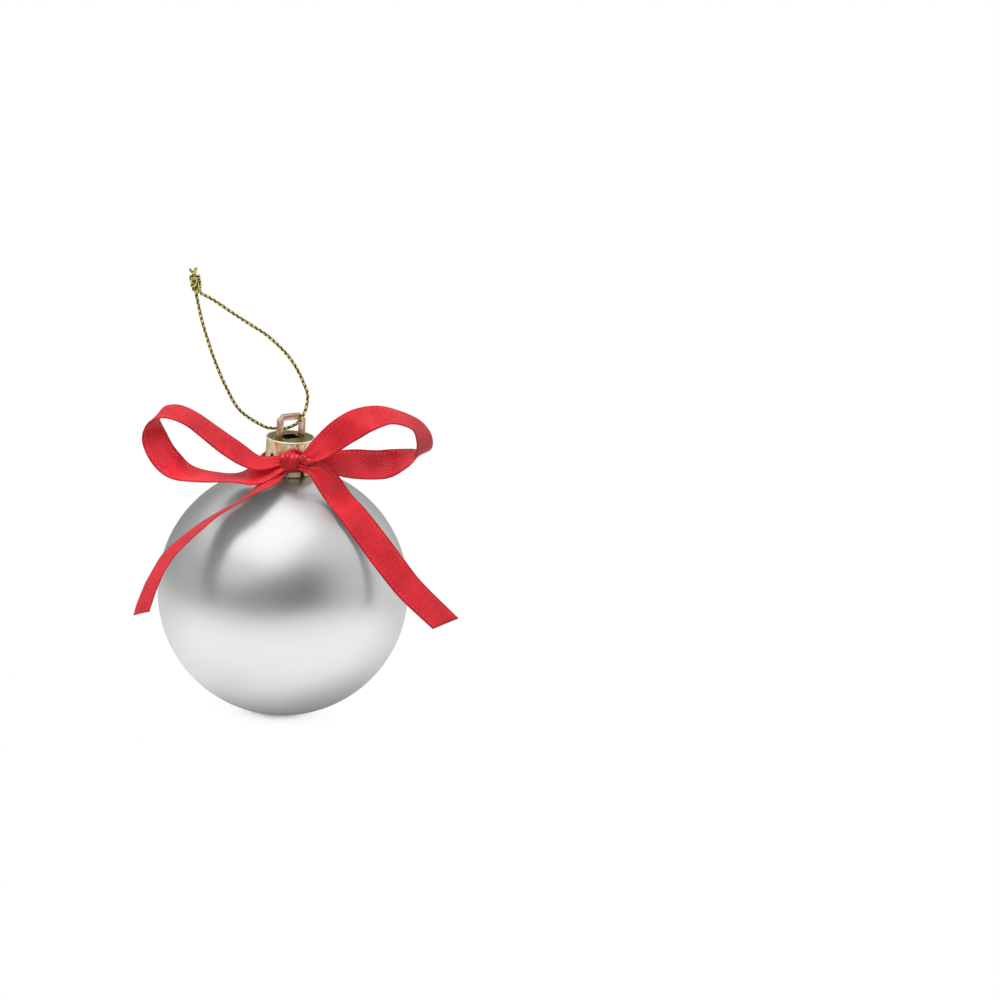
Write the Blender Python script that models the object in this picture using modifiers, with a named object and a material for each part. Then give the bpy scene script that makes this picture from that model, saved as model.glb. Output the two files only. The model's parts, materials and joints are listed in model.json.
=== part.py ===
"""Hanging ball ornament: satin silver glass ball, gold plated cap with a hanging eye,
red satin ribbon tied as a bow round the cap, and a looped gold cord with its knot.

Metres, +Z up, the bow faces -Y. The world origin is the hanging point inside the cord's loop,
just under its knot. The ball's own shapes are worked out from the ball's centre.
"""

import math

import bmesh
import bpy
from mathutils import Matrix, Vector

MM = 0.001

# Fits
FIT_GAP = 0.3 * MM

# Ball and its neck
BALL_RADIUS = 30.0 * MM
BALL_WALL = 0.8 * MM
NECK_RADIUS = 4.8 * MM
NECK_WALL = 0.8 * MM

# Cap
CAP_WALL = 0.9 * MM
CAP_HEIGHT = 8.4 * MM
CAP_PLATE = 1.0 * MM
CAP_RIM_ROUND = 0.5 * MM
FINGER_COUNT = 9
FINGER_SLOT_WIDTH = 1.2 * MM
FINGER_SLOT_HEIGHT = 5.4 * MM
FINGER_SLOT_AZIMUTH = -6.0

# Hanging eye on the cap's top plate, and the slot that its mould leaves under it
EYE_WIDTH = 7.2 * MM
EYE_HEIGHT = 5.6 * MM
EYE_BAR = 1.4 * MM
EYE_THICKNESS = 1.4 * MM
EYE_CHAMFER = 1.3 * MM
EYE_YAW = 28.0
EYE_SLOT_INSET = 0.2 * MM
EYE_SLOT_DEPTH = 3.0 * MM
EYE_SLOT_SETBACK = 0.5 * MM

# Ribbon
RIBBON_WIDTH = 7.0 * MM
RIBBON_THICKNESS = 0.5 * MM
BAND_HEIGHT = 2.2 * MM
BAND_THICKNESS = 0.8 * MM
BAND_LIFT = 1.2 * MM
KNOT_WIDTH = 5.2 * MM
KNOT_DEPTH = 3.0 * MM
KNOT_HEIGHT = 4.2 * MM
KNOT_OFFSET = 0.4 * MM
KNOT_LIFT = 4.4 * MM
KNOT_ROUND = 1.1 * MM

# Cord
CORD_DIAMETER = 0.8 * MM
CORD_KNOT_SIZE = Vector((2.8, 2.4, 4.0)) * MM
CORD_KNOT_LEAN = -14.0

# How finely round shapes are cut
BALL_STEPS = 40
CAP_STEPS = 45
ARC_STEPS = 14
RIM_STEPS = 4
SAMPLES_PER_SPAN = 4
CORD_POINT_SPACING = 2.6

# Heights over the ball's centre and radii, worked out from the sizes above
CAP_INNER = NECK_RADIUS + FIT_GAP
CAP_OUTER = CAP_INNER + CAP_WALL
CAP_BOTTOM = math.sqrt(BALL_RADIUS**2 - CAP_INNER**2) + FIT_GAP
CAP_TOP = CAP_BOTTOM + CAP_HEIGHT
NECK_TOP = CAP_TOP - CAP_PLATE - FIT_GAP
EYE_TOP = CAP_TOP + EYE_HEIGHT
EYE_MIDDLE = (CAP_TOP + EYE_TOP - EYE_BAR) / 2
EYE_PIVOT = Vector((0, 0, EYE_MIDDLE))
BAND_INNER = CAP_OUTER + FIT_GAP
BAND_OUTER = BAND_INNER + BAND_THICKNESS
KNOT_CENTRE = Vector((KNOT_OFFSET, -(BAND_OUTER + FIT_GAP + KNOT_DEPTH / 2), CAP_BOTTOM + KNOT_LIFT))

# The cord's route in millimetres from the eye's middle: x along the eye's width, y to the back,
# z up. It comes down from the knot, passes behind the eye's left leg, goes through the eye and
# rises in front of its right leg, back to the knot.
CORD_ROUTE = (
    (-26.9, 0.45, 35.2),
    (-25.0, 0.6, 28.7),
    (-21.7, 0.8, 20.1),
    (-17.6, 1.1, 11.7),
    (-13.2, 1.35, 5.1),
    (-6.8, 1.45, 0.7),
    (-3.5, 1.4, -0.2),
    (-1.3, 0.95, -0.3),
    (0.0, 0.0, 0.35),
    (1.0, -1.0, 1.3),
    (2.1, -1.4, 2.9),
    (2.9, -1.5, 4.6),
    (3.3, -1.5, 7.6),
    (2.6, -1.4, 10.3),
    (-1.2, -1.2, 17.0),
    (-7.4, -1.0, 23.3),
    (-15.4, -0.8, 28.7),
    (-23.0, -0.6, 33.9),
    (-26.1, -0.5, 35.6),
)
CORD_KNOT_CENTRE = (-27.4, 0.0, 38.2)
CORD_END_SHORT = ((-27.6, 0.55, 40.6), (-27.4, 0.65, 41.1), (-27.15, 0.75, 41.55))
CORD_END_LONG = ((-28.25, -0.5, 40.55), (-28.85, -0.6, 41.2), (-29.4, -0.7, 41.8))
HANG_POINT = Vector((-25.6, 0.0, 34.5)) * MM

# Bow loops, from the knot's side out and back: distance out from the side, to the back and up in
# millimetres, the direction across the ribbon from its front edge to its back edge, and how much
# of the width is left where the knot gathers it.
LOOP_LEFT = (
    ((0.0, 0.3, 0.9), (0.0, 0.8, 0.6), 0.45),
    ((5.1, 0.2, -0.4), (-1.5, 4.7, 1.9), 0.8),
    ((11.7, 0.9, 3.0), (-0.7, 6.0, 3.5), 1.0),
    ((21.5, 1.4, 9.5), (0.0, 6.4, 2.7), 1.0),
    ((27.0, 1.9, 10.6), (-0.6, 6.7, 1.2), 1.0),
    ((29.9, 2.3, 8.3), (-2.6, 6.2, 0.9), 1.0),
    ((29.5, 1.9, 3.5), (-4.0, 3.6, 3.8), 1.0),
    ((25.9, 0.9, -1.6), (-3.2, 4.0, 4.8), 1.0),
    ((20.2, 0.4, -4.3), (-1.4, 6.6, 1.7), 1.0),
    ((9.7, 0.4, -4.7), (0.6, 7.0, 0.2), 1.0),
    ((4.1, 0.2, -3.6), (-1.0, 4.5, 0.8), 0.75),
    ((0.0, 0.3, -1.4), (0.0, 1.0, 0.1), 0.4),
)
LOOP_RIGHT = (
    ((0.0, -0.2, 1.0), (-0.2, 0.5, 0.8), 0.4),
    ((3.9, -0.6, 4.1), (-4.0, 3.1, 3.5), 0.85),
    ((9.4, -0.6, 8.9), (-3.5, 1.7, 6.1), 1.0),
    ((14.8, -0.1, 11.9), (-1.2, 4.9, 4.8), 1.0),
    ((20.4, 0.4, 12.8), (0.5, 6.7, 1.9), 1.0),
    ((25.9, 0.9, 11.0), (2.5, 6.6, -0.3), 1.0),
    ((28.3, 0.9, 7.6), (3.5, 5.9, -1.3), 1.0),
    ((28.3, 1.4, 3.8), (3.4, 6.2, -0.5), 1.0),
    ((24.9, 2.2, 2.0), (0.5, 6.4, 2.8), 1.0),
    ((18.7, 2.9, -0.1), (2.0, 2.4, 6.6), 1.0),
    ((11.2, 2.4, -0.2), (1.0, 3.1, 6.2), 1.0),
    ((4.7, 1.6, 0.0), (0.0, 3.0, 4.0), 0.7),
    ((0.0, 0.9, -0.6), (0.0, 0.5, 0.8), 0.4),
)

# Bow tails. Each starts beside or under the knot, given from the middle of the knot's underside
# in millimetres, and then runs down over the ball: angle from the ball's axis, angle round it from
# +X, lift of the ribbon's lower edge over the ball in millimetres, and the ribbon's lean off the
# ball in degrees. The cut is how much further one edge runs than the other at the cut end.
TAIL_RIGHT_START = ((3.3, -1.2, 0.8), (1.0, 0.5, 1.6), 0.3)
TAIL_RIGHT_TURN = ((6.7, -1.6, 1.0), (3.4, 1.6, 2.7), 0.7)
TAIL_RIGHT = (
    (31.5, -42.4, 0.7, 14.0),
    (42.2, -42.2, 0.5, 23.0),
    (55.2, -39.4, 0.6, 32.0),
    (67.8, -36.8, 2.5, 33.0),
    (78.4, -34.2, 6.2, 27.0),
    (89.2, -30.8, 14.4, 21.0),
)
TAIL_RIGHT_CUT = 2.5 * MM
TAIL_LEFT_START = ((-1.6, 0.2, 0.0), (0.0, -1.0, 0.0), 0.4)
TAIL_LEFT_TURN = ((-4.6, -2.4, -1.7), (0.6, -5.8, -0.3), 0.8)
TAIL_LEFT = (
    (36.0, -121.5, 0.8, 42.0),
    (48.0, -131.8, 2.0, 38.0),
    (60.0, -135.8, 5.1, 31.0),
    (69.5, -137.8, 8.3, 25.0),
    (78.0, -137.4, 11.2, 20.0),
    (85.0, -136.6, 13.7, 17.0),
    (88.0, -136.3, 14.7, 16.0),
)
TAIL_LEFT_CUT = -2.8 * MM


def clear_scene():
    for old in list(bpy.data.objects):
        bpy.data.objects.remove(old, do_unlink=True)


def new_collection(name):
    collection = bpy.data.collections.new(name)
    bpy.context.scene.collection.children.link(collection)
    return collection


def make_material(name, colour, roughness, metallic):
    material = bpy.data.materials.new(name)
    material.use_nodes = True
    shader = material.node_tree.nodes["Principled BSDF"]
    shader.inputs["Base Color"].default_value = (*colour, 1.0)
    shader.inputs["Roughness"].default_value = roughness
    shader.inputs["Metallic"].default_value = metallic
    return material


def make_empty(name, collection, parent, location, yaw=0.0):
    empty = bpy.data.objects.new(name, None)
    collection.objects.link(empty)
    empty.parent = parent
    empty.location = location
    empty.rotation_euler = (0, 0, math.radians(yaw))
    return empty


def make_object(name, data, collection, parent, material=None):
    made = bpy.data.objects.new(name, data)
    collection.objects.link(made)
    made.parent = parent
    if material:
        data.materials.append(material)
    return made


def mesh_of(name, shape):
    """A mesh from a bmesh, shaded smooth apart from its sharp edges."""
    mesh = bpy.data.meshes.new(name)
    shape.to_mesh(mesh)
    shape.free()
    mesh.shade_smooth()
    mesh.set_sharp_from_angle(angle=math.radians(40))
    return mesh


def make_cutter(name, mesh, collection, parent):
    """A helper shape that cuts or joins another one and isn't a piece itself."""
    cutter = make_object(name, mesh, collection, parent)
    cutter.hide_render = True
    cutter.display_type = "WIRE"
    return cutter


def add_boolean(target, cutter, operation):
    modifier = target.modifiers.new(cutter.name, "BOOLEAN")
    modifier.object = cutter
    modifier.operation = operation


def turned(name, profile, steps, closed, collection, parent, material):
    """A turned piece: its profile runs down the outer side, and a Screw modifier turns it."""
    shape = bmesh.new()
    corners = [shape.verts.new((radius, 0, height)) for radius, height in profile]
    for first, second in zip(corners, corners[1:]):
        shape.edges.new((first, second))
    if closed:
        shape.edges.new((corners[-1], corners[0]))
    piece = make_object(name, mesh_of(name, shape), collection, parent, material)
    screw = piece.modifiers.new("turn", "SCREW")
    screw.steps = steps
    screw.render_steps = steps
    screw.use_merge_vertices = True
    screw.merge_threshold = 0.00001
    screw.use_smooth_shade = True
    return piece


def arc(centre, radius, start, end, points):
    """Points on an arc in a profile, with angles in degrees from the radius axis."""
    angles = [math.radians(start + (end - start) * i / (points - 1)) for i in range(points)]
    return [(centre[0] + radius * math.cos(a), centre[1] + radius * math.sin(a)) for a in angles]


def box(size, middle, turn=None):
    """A box as a bmesh, centred on middle and then turned about the world's axes."""
    shape = bmesh.new()
    bmesh.ops.create_cube(shape, size=1.0)
    bmesh.ops.scale(shape, vec=size, verts=shape.verts)
    bmesh.ops.translate(shape, vec=middle, verts=shape.verts)
    if turn:
        bmesh.ops.rotate(shape, matrix=turn, verts=shape.verts)
    return shape


def smooth_through(points, at):
    """A value on the smooth curve through points, at a place counted in points."""
    span = min(int(at), len(points) - 2)
    share = at - span
    before = points[span - 1] if span else points[0] * 2 - points[1]
    start = points[span]
    end = points[span + 1]
    after = points[span + 2] if span + 2 < len(points) else end * 2 - start
    slope_in = (end - before) / 2
    slope_out = (after - start) / 2
    bend = 3 * (end - start) - 2 * slope_in - slope_out
    turn = 2 * (start - end) + slope_in + slope_out
    return start + share * (slope_in + share * (bend + share * turn))


def sampled(points, count):
    """Points spread evenly in the count along the smooth curve."""
    last = len(points) - 1
    return [smooth_through(points, last * i / (count - 1)) for i in range(count)]


def make_ball(collection, parent, material):
    inner_radius = BALL_RADIUS - BALL_WALL
    bore = NECK_RADIUS - NECK_WALL
    inner_start = math.degrees(math.acos(bore / inner_radius))
    outer_start = math.degrees(math.acos(NECK_RADIUS / BALL_RADIUS))
    inside = arc((0, 0), inner_radius, -90, inner_start, ARC_STEPS)
    outside = arc((0, 0), BALL_RADIUS, outer_start, -90, ARC_STEPS + 2)
    inside[0] = (0, -inner_radius)
    outside[-1] = (0, -BALL_RADIUS)
    profile = inside + [(bore, NECK_TOP), (NECK_RADIUS, NECK_TOP)] + outside
    return turned("glass_ball", profile, BALL_STEPS, False, collection, parent, material)


def finger_slots():
    """Boxes that split the cap's skirt into fingers, as one mesh."""
    shape = bmesh.new()
    depth = CAP_WALL + 2 * FIT_GAP
    height = FINGER_SLOT_HEIGHT + FIT_GAP
    middle = Vector((0, -(CAP_INNER + CAP_WALL / 2), CAP_BOTTOM - FIT_GAP + height / 2))
    for i in range(FINGER_COUNT):
        angle = math.radians(FINGER_SLOT_AZIMUTH + 360 * i / FINGER_COUNT)
        slot = box((FINGER_SLOT_WIDTH, depth, height), middle, Matrix.Rotation(angle, 3, "Z"))
        one = bpy.data.meshes.new("one_slot")
        slot.to_mesh(one)
        slot.free()
        shape.from_mesh(one)
        bpy.data.meshes.remove(one)
    return mesh_of("finger_slots", shape)


def eye_outline():
    """The eye's outline and its hole, as x along its width and y up from the plate's middle."""
    half = EYE_WIDTH / 2
    foot = -CAP_PLATE / 2
    top = EYE_HEIGHT
    inner = half - EYE_BAR
    outer = [
        (-half, foot),
        (half, foot),
        (half, top - EYE_CHAMFER),
        (half - EYE_CHAMFER, top),
        (EYE_CHAMFER - half, top),
        (-half, top - EYE_CHAMFER),
    ]
    hole = [
        (-inner, foot / 2),
        (inner, foot / 2),
        (inner, top - EYE_BAR),
        (-inner, top - EYE_BAR),
    ]
    return outer, hole


def make_eye(collection, parent):
    """The hanging eye: an upright outline with a hole, as thick as the eye's bar."""
    curve = bpy.data.curves.new("eye_outline", "CURVE")
    curve.dimensions = "2D"
    curve.fill_mode = "BOTH"
    curve.extrude = EYE_THICKNESS / 2
    for corners in eye_outline():
        spline = curve.splines.new("POLY")
        spline.points.add(len(corners) - 1)
        spline.use_cyclic_u = True
        for point, (across, up) in zip(spline.points, corners):
            point.co = (across, up, 0, 1)
    flat = bpy.data.objects.new("eye_outline", curve)
    collection.objects.link(flat)
    flat.parent = parent
    flat.location = (0, 0, CAP_TOP)
    flat.rotation_euler = (math.radians(90), 0, math.radians(EYE_YAW))
    bpy.context.view_layer.update()
    solid = bpy.data.meshes.new_from_object(flat.evaluated_get(bpy.context.evaluated_depsgraph_get()))
    shape = bmesh.new()
    shape.from_mesh(solid)
    bmesh.ops.remove_doubles(shape, verts=shape.verts, dist=0.00001)
    bpy.data.meshes.remove(solid)
    eye = make_cutter("eye", mesh_of("eye", shape), collection, parent)
    eye.location = flat.location
    eye.rotation_euler = flat.rotation_euler
    bpy.data.objects.remove(flat, do_unlink=True)
    return eye


def make_cap(collection, cutters, parent, material):
    rim_middle = (CAP_OUTER - CAP_RIM_ROUND, CAP_TOP - CAP_RIM_ROUND)
    profile = [(0, CAP_TOP)]
    profile += arc(rim_middle, CAP_RIM_ROUND, 90, 0, RIM_STEPS)
    profile += [(CAP_OUTER, CAP_BOTTOM), (CAP_INNER, CAP_BOTTOM)]
    profile += [(CAP_INNER, CAP_TOP - CAP_PLATE), (0, CAP_TOP - CAP_PLATE)]
    cap = turned("cap", profile, CAP_STEPS, False, collection, parent, material)
    slots = make_cutter("finger_slots", finger_slots(), cutters, parent)
    add_boolean(cap, slots, "DIFFERENCE")
    add_boolean(cap, make_eye(cutters, parent), "UNION")
    slot_width = EYE_WIDTH - 2 * (EYE_BAR + EYE_SLOT_INSET)
    slot_middle = Vector((0, EYE_SLOT_SETBACK, CAP_TOP - CAP_PLATE / 2))
    slot_size = (slot_width, EYE_SLOT_DEPTH, CAP_PLATE + 2 * FIT_GAP)
    turn = Matrix.Rotation(math.radians(EYE_YAW), 3, "Z")
    slot = mesh_of("eye_slot", box(slot_size, slot_middle, turn))
    add_boolean(cap, make_cutter("eye_slot", slot, cutters, parent), "DIFFERENCE")
    return cap


def make_band(collection, parent, material):
    """The ribbon where it goes round the cap, gathered into a narrow band."""
    low = CAP_BOTTOM + BAND_LIFT
    bulge = BAND_THICKNESS / 2
    middle = BAND_INNER + bulge
    profile = arc((middle, low + BAND_HEIGHT - bulge), bulge, 180, 0, RIM_STEPS + 1)
    profile += arc((middle, low + bulge), bulge, 0, -180, RIM_STEPS + 1)
    return turned("ribbon_band", profile, CAP_STEPS, True, collection, parent, material)


def make_bow_knot(collection, parent, material):
    shape = box((KNOT_WIDTH, KNOT_DEPTH, KNOT_HEIGHT), Vector())
    knot = make_object("bow_knot", mesh_of("bow_knot", shape), collection, parent, material)
    knot.location = KNOT_CENTRE
    bevel = knot.modifiers.new("round", "BEVEL")
    bevel.width = min(KNOT_ROUND, 0.45 * min(KNOT_WIDTH, KNOT_DEPTH, KNOT_HEIGHT))
    bevel.segments = 3
    return knot


def make_ribbon(name, stations, cut, collection, parent, material):
    """A length of ribbon through stations of (middle, direction across, share of the width).

    A flat grid is laid along the smooth curve through the middles, square to its run. Its last
    row is cut on the slant.
    """
    middles = [middle for middle, _, _ in stations]
    acrosses = [across.normalized() for _, across, _ in stations]
    shares = [Vector((share, 0, 0)) for _, _, share in stations]
    count = (len(stations) - 1) * SAMPLES_PER_SPAN + 1
    run = sampled(middles, count)
    directions = sampled(acrosses, count)
    widths = [RIBBON_WIDTH * share.x for share in sampled(shares, count)]
    shape = bmesh.new()
    bmesh.ops.create_grid(shape, x_segments=count - 1, y_segments=1, size=1.0)
    for vertex in shape.verts:
        i = round((vertex.co.x + 1) / 2 * (count - 1))
        along = (run[min(i + 1, count - 1)] - run[max(i - 1, 0)]).normalized()
        across = (directions[i] - directions[i].dot(along) * along).normalized()
        slant = cut / 2 * along if i == count - 1 else Vector()
        vertex.co = run[i] + math.copysign(1, vertex.co.y) * (across * widths[i] / 2 + slant)
    ribbon = make_object(name, mesh_of(name, shape), collection, parent, material)
    thick = ribbon.modifiers.new("thickness", "SOLIDIFY")
    thick.thickness = RIBBON_THICKNESS
    thick.offset = 0
    return ribbon


def loop_stations(rows, side):
    """A bow loop's stations from the ball's centre; side is -1 for the left and 1 for the right."""
    stations = []
    for (out, back, up), across, share in rows:
        reach = KNOT_WIDTH / 2 + FIT_GAP + RIBBON_THICKNESS / 2 + out * MM
        middle = KNOT_CENTRE + Vector((side * reach, back * MM, up * MM))
        direction = Vector(across) if side > 0 else Vector((-across[0], across[1], across[2]))
        stations.append((middle, direction, share))
    return stations


def ball_direction(polar, azimuth):
    polar = math.radians(polar)
    azimuth = math.radians(azimuth)
    flat = math.sin(polar)
    return Vector((flat * math.cos(azimuth), flat * math.sin(azimuth), math.cos(polar)))


def tail_stations(begin, rows):
    """A bow tail's stations from the ball's centre: those under the knot, then those on the ball."""
    under = KNOT_CENTRE - Vector((0, 0, KNOT_HEIGHT / 2 + FIT_GAP + RIBBON_THICKNESS / 2))
    stations = [(under + Vector(place) * MM, Vector(across), share) for place, across, share in begin]
    for i, (polar, azimuth, lift, lean) in enumerate(rows):
        outward = ball_direction(polar, azimuth)
        before = ball_direction(*rows[max(i - 1, 0)][:2])
        after = ball_direction(*rows[min(i + 1, len(rows) - 1)][:2])
        level = outward.cross(after - before).normalized()
        lean = math.radians(lean)
        across = math.cos(lean) * level + math.sin(lean) * outward
        rise = RIBBON_WIDTH / 2 * abs(math.sin(lean)) + RIBBON_THICKNESS / 2 + lift * MM
        stations.append((outward * (BALL_RADIUS + rise), across, 1.0))
    return stations


def make_bow(collection, parent, material):
    make_bow_knot(collection, parent, material)
    tail_left = tail_stations((TAIL_LEFT_START, TAIL_LEFT_TURN), TAIL_LEFT)
    tail_right = tail_stations((TAIL_RIGHT_START, TAIL_RIGHT_TURN), TAIL_RIGHT)
    lengths = {
        "bow_loop_left": (loop_stations(LOOP_LEFT, -1), 0),
        "bow_loop_right": (loop_stations(LOOP_RIGHT, 1), 0),
        "bow_tail_left": (tail_left, TAIL_LEFT_CUT),
        "bow_tail_right": (tail_right, TAIL_RIGHT_CUT),
    }
    for name, (stations, cut) in lengths.items():
        make_ribbon(name, stations, cut, collection, parent, material)


def make_tube(name, route, collection, parent, material):
    """A round cord along the smooth curve through a route given in millimetres."""
    points = [Vector(point) * MM for point in route]
    length = sum((b - a).length for a, b in zip(points, points[1:]))
    count = max(len(points), round(length / (CORD_POINT_SPACING * CORD_DIAMETER)))
    curve = bpy.data.curves.new(name, "CURVE")
    curve.dimensions = "3D"
    curve.bevel_depth = CORD_DIAMETER / 2
    curve.bevel_resolution = 2
    curve.use_fill_caps = True
    spline = curve.splines.new("POLY")
    spline.points.add(count - 1)
    for point, place in zip(spline.points, sampled(points, count)):
        point.co = (*place, 1)
    return make_object(name, curve, collection, parent, material)


def make_cord(collection, parent, material):
    make_tube("hang_cord", CORD_ROUTE, collection, parent, material)
    make_tube("cord_end_short", CORD_END_SHORT, collection, parent, material)
    make_tube("cord_end_long", CORD_END_LONG, collection, parent, material)
    shape = bmesh.new()
    bmesh.ops.create_uvsphere(shape, u_segments=14, v_segments=8, radius=0.5)
    bmesh.ops.scale(shape, vec=CORD_KNOT_SIZE, verts=shape.verts)
    knot = make_object("cord_knot", mesh_of("cord_knot", shape), collection, parent, material)
    knot.location = Vector(CORD_KNOT_CENTRE) * MM
    knot.rotation_euler = (0, math.radians(CORD_KNOT_LEAN), 0)


def main():
    clear_scene()
    parts = new_collection("ball_ornament")
    cutters = new_collection("cutters")
    silver = make_material("satin_silver", (0.62, 0.62, 0.61), 0.36, 1.0)
    gold = make_material("champagne_gold", (0.72, 0.62, 0.42), 0.12, 1.0)
    red = make_material("red_satin", (0.62, 0.02, 0.035), 0.4, 0.0)
    cord = make_material("gold_cord", (0.52, 0.4, 0.12), 0.35, 0.6)

    hang_point = make_empty("hang_point", parts, None, (0, 0, 0))
    to_eye = Matrix.Rotation(math.radians(EYE_YAW), 3, "Z") @ HANG_POINT
    eye_pivot = make_empty("eye_pivot", parts, hang_point, -to_eye, EYE_YAW)
    ball_centre = make_empty("ball_centre", parts, hang_point, -to_eye - EYE_PIVOT)

    make_cord(parts, eye_pivot, cord)
    make_ball(parts, ball_centre, silver)
    make_cap(parts, cutters, ball_centre, gold)
    make_band(parts, ball_centre, red)
    make_bow(parts, ball_centre, red)
    bpy.context.view_layer.update()


main()
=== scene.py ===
"""Looks of the hanging ball ornament: satin silver ball, gold plated cap with its eye, red satin
bow and a twisted gold cord. Metres, +Z up, the bow faces -Y. The origin is the hanging point
inside the cord's loop.
"""

import json
import math

import bmesh
import bpy
from mathutils import Matrix, Vector


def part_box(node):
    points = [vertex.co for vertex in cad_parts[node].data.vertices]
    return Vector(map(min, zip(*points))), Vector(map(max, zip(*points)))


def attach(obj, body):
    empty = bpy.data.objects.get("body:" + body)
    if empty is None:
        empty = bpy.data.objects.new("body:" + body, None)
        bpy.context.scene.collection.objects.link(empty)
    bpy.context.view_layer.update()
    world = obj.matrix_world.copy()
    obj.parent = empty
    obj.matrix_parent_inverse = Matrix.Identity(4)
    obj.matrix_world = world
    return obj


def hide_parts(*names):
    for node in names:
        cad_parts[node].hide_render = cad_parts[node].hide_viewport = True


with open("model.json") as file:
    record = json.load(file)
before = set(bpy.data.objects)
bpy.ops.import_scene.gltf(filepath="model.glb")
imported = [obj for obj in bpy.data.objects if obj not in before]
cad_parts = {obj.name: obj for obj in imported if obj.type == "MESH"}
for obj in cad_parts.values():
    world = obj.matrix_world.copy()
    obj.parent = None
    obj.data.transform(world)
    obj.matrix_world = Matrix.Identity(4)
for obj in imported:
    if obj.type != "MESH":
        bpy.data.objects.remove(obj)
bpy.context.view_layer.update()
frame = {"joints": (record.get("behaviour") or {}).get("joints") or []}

MM = 0.001
FULL_TURN = 2 * math.pi
MERGE_DISTANCE = 0.002 * MM
SHARP_ANGLE = math.radians(50.0)

# The photo's view: where the ball's centre is in the picture, and how the camera is held
IMAGE_SIZE = 1000
PIXELS_PER_MM = 4.18
BALL_PIXEL = (282.8, 590.0)
CAMERA_ELEVATION = math.radians(16.0)
CAMERA_ROLL = math.radians(3.0)
CAMERA_DISTANCE = 6.0
SENSOR_WIDTH = 36.0

# Places from the frame
ball_low, ball_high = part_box("glass_ball")
BALL_RADIUS = (ball_high.x - ball_low.x) / 2
BALL_CENTRE = Vector((
    (ball_low.x + ball_high.x) / 2,
    (ball_low.y + ball_high.y) / 2,
    ball_low.z + BALL_RADIUS,
))
cap_low, cap_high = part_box("cap")
band_low, band_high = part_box("ribbon_band")
knot_low, knot_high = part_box("bow_knot")
KNOT_CENTRE = (knot_low + knot_high) / 2
KNOT_HALF = (knot_high - knot_low) / 2
swing = next(joint for joint in frame["joints"] if joint["name"] == "ball_swing")
EYE_PIVOT = Vector(swing["pos_m"])
EYE_YAW = math.atan2(swing["axis"][0], -swing["axis"][1])
EYE_TURN = Matrix.Rotation(EYE_YAW, 3, "Z")

# Ball
BALL_WALL = 0.8 * MM
NECK_RADIUS = 4.8 * MM
NECK_WALL = 0.8 * MM
NECK_GAP = 0.3 * MM
NECK_FILLET = 0.6 * MM
BALL_STEPS = 192
BALL_ARC_POINTS = 96
SILVER = (0.74, 0.74, 0.735)
SILVER_ROUGHNESS = (0.31, 0.35)
SILVER_UNEVEN_SCALE = 90.0
SILVER_GRAIN_SCALE = 5200.0
SILVER_GRAIN_DEPTH = 0.02 * MM

# Cap. Heights are over the ball's centre.
EYE_WIDTH = 7.2 * MM
EYE_HEIGHT = 5.6 * MM
EYE_BAR = 1.4 * MM
EYE_THICKNESS = 1.4 * MM
EYE_CHAMFER = 1.3 * MM
EYE_ROUND = 0.22 * MM
EYE_ROOT = 0.55 * MM
EYE_SLOT_INSET = 0.2 * MM
EYE_SLOT_DEPTH = 3.8 * MM
EYE_SLOT_SETBACK = 0.3 * MM
CAP_BOTTOM = cap_low.z - BALL_CENTRE.z
CAP_TOP = cap_high.z - BALL_CENTRE.z - EYE_HEIGHT
CAP_OUTER = 6.0 * MM
CAP_INNER = 5.1 * MM
CAP_PLATE = 1.0 * MM
CAP_RIM = 5.84 * MM
CAP_BEAD = 0.24 * MM
CAP_RECESS = 0.1 * MM
CAP_WAIST = 5.68 * MM
CAP_SKIRT = 5.88 * MM
CAP_LIP = 0.32 * MM
CAP_LIP_DROP = 0.24 * MM
CAP_STEPS = 144
CAP_SHARP_ANGLE = math.radians(32.0)
FINGER_COUNT = 9
FINGER_SLOT_WIDTH = 1.2 * MM
FINGER_SLOT_HEIGHT = 5.4 * MM
FINGER_SLOT_AZIMUTH = math.radians(-6.0)
FINGER_CORNER = 0.55 * MM
GOLD_WAVES = ((1.0, 0.90, 0.60), (0.84, 0.68, 0.34))
# Painted highlight: a pale cream band round the cap's rim.
GOLD_RIM_HIGHLIGHT = (1.0, 0.97, 0.84)
# Painted reflection: the plate darker and olive, with speckles.
GOLD_OLIVE_PLATE_REFLECTION = ((0.21, 0.17, 0.035), (0.36, 0.29, 0.08))
# Painted reflection of the red ribbon: a rosy tint on the eye, above the plate.
GOLD_EYE_REFLECTION = ((0.76, 0.58, 0.45), (0.56, 0.38, 0.28))
# Painted shade: dark brown inside the cap, under its plate and in the slot under the eye.
GOLD_HOLLOW_SHADE = (0.05, 0.03, 0.01)
GOLD_ROUGHNESS = (0.10, 0.24)
GOLD_METALLIC = (0.3, 0.8)
# Less metallic towards the finger tips, which makes them look lighter.
GOLD_METALLIC_HEIGHTS = (-7.0 * MM, -5.0 * MM)
GOLD_EYE_REFLECTION_HEIGHT = 1.2 * MM
GOLD_WAVE_SCALE = 700.0
GOLD_WAVE_DEPTH = 0.1 * MM
GOLD_SPECK_SCALE = 2600.0
GOLD_GLOSS_SCALE = 1500.0

# Ribbon
RIBBON_WIDTH = 7.0 * MM
RIBBON_THICKNESS = 0.26 * MM
RIBBON_ACROSS = 15
RIBBON_SAMPLES = 14
CAD_RIBBON_THICKNESS = 0.5 * MM
FIT_GAP = 0.3 * MM
PLEAT_DEPTH = 0.42 * MM
PLEAT_WAVES = 2.0
CROWN = 0.12 * MM
WEAVE_DEPTH = 0.03 * MM
TWILL_SLANT = -0.4
TWILL_PITCH = 0.62
FLOAT_PITCH = 0.75
STITCH_PITCH = 1.1
STITCH_ROW_EDGES = (2.4, 2.6, 2.8, 3.0)
TURNED_EDGE = (3.1, 3.4)
STITCH_FAINT = 0.04
STITCH_BACK = 0.12
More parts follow.
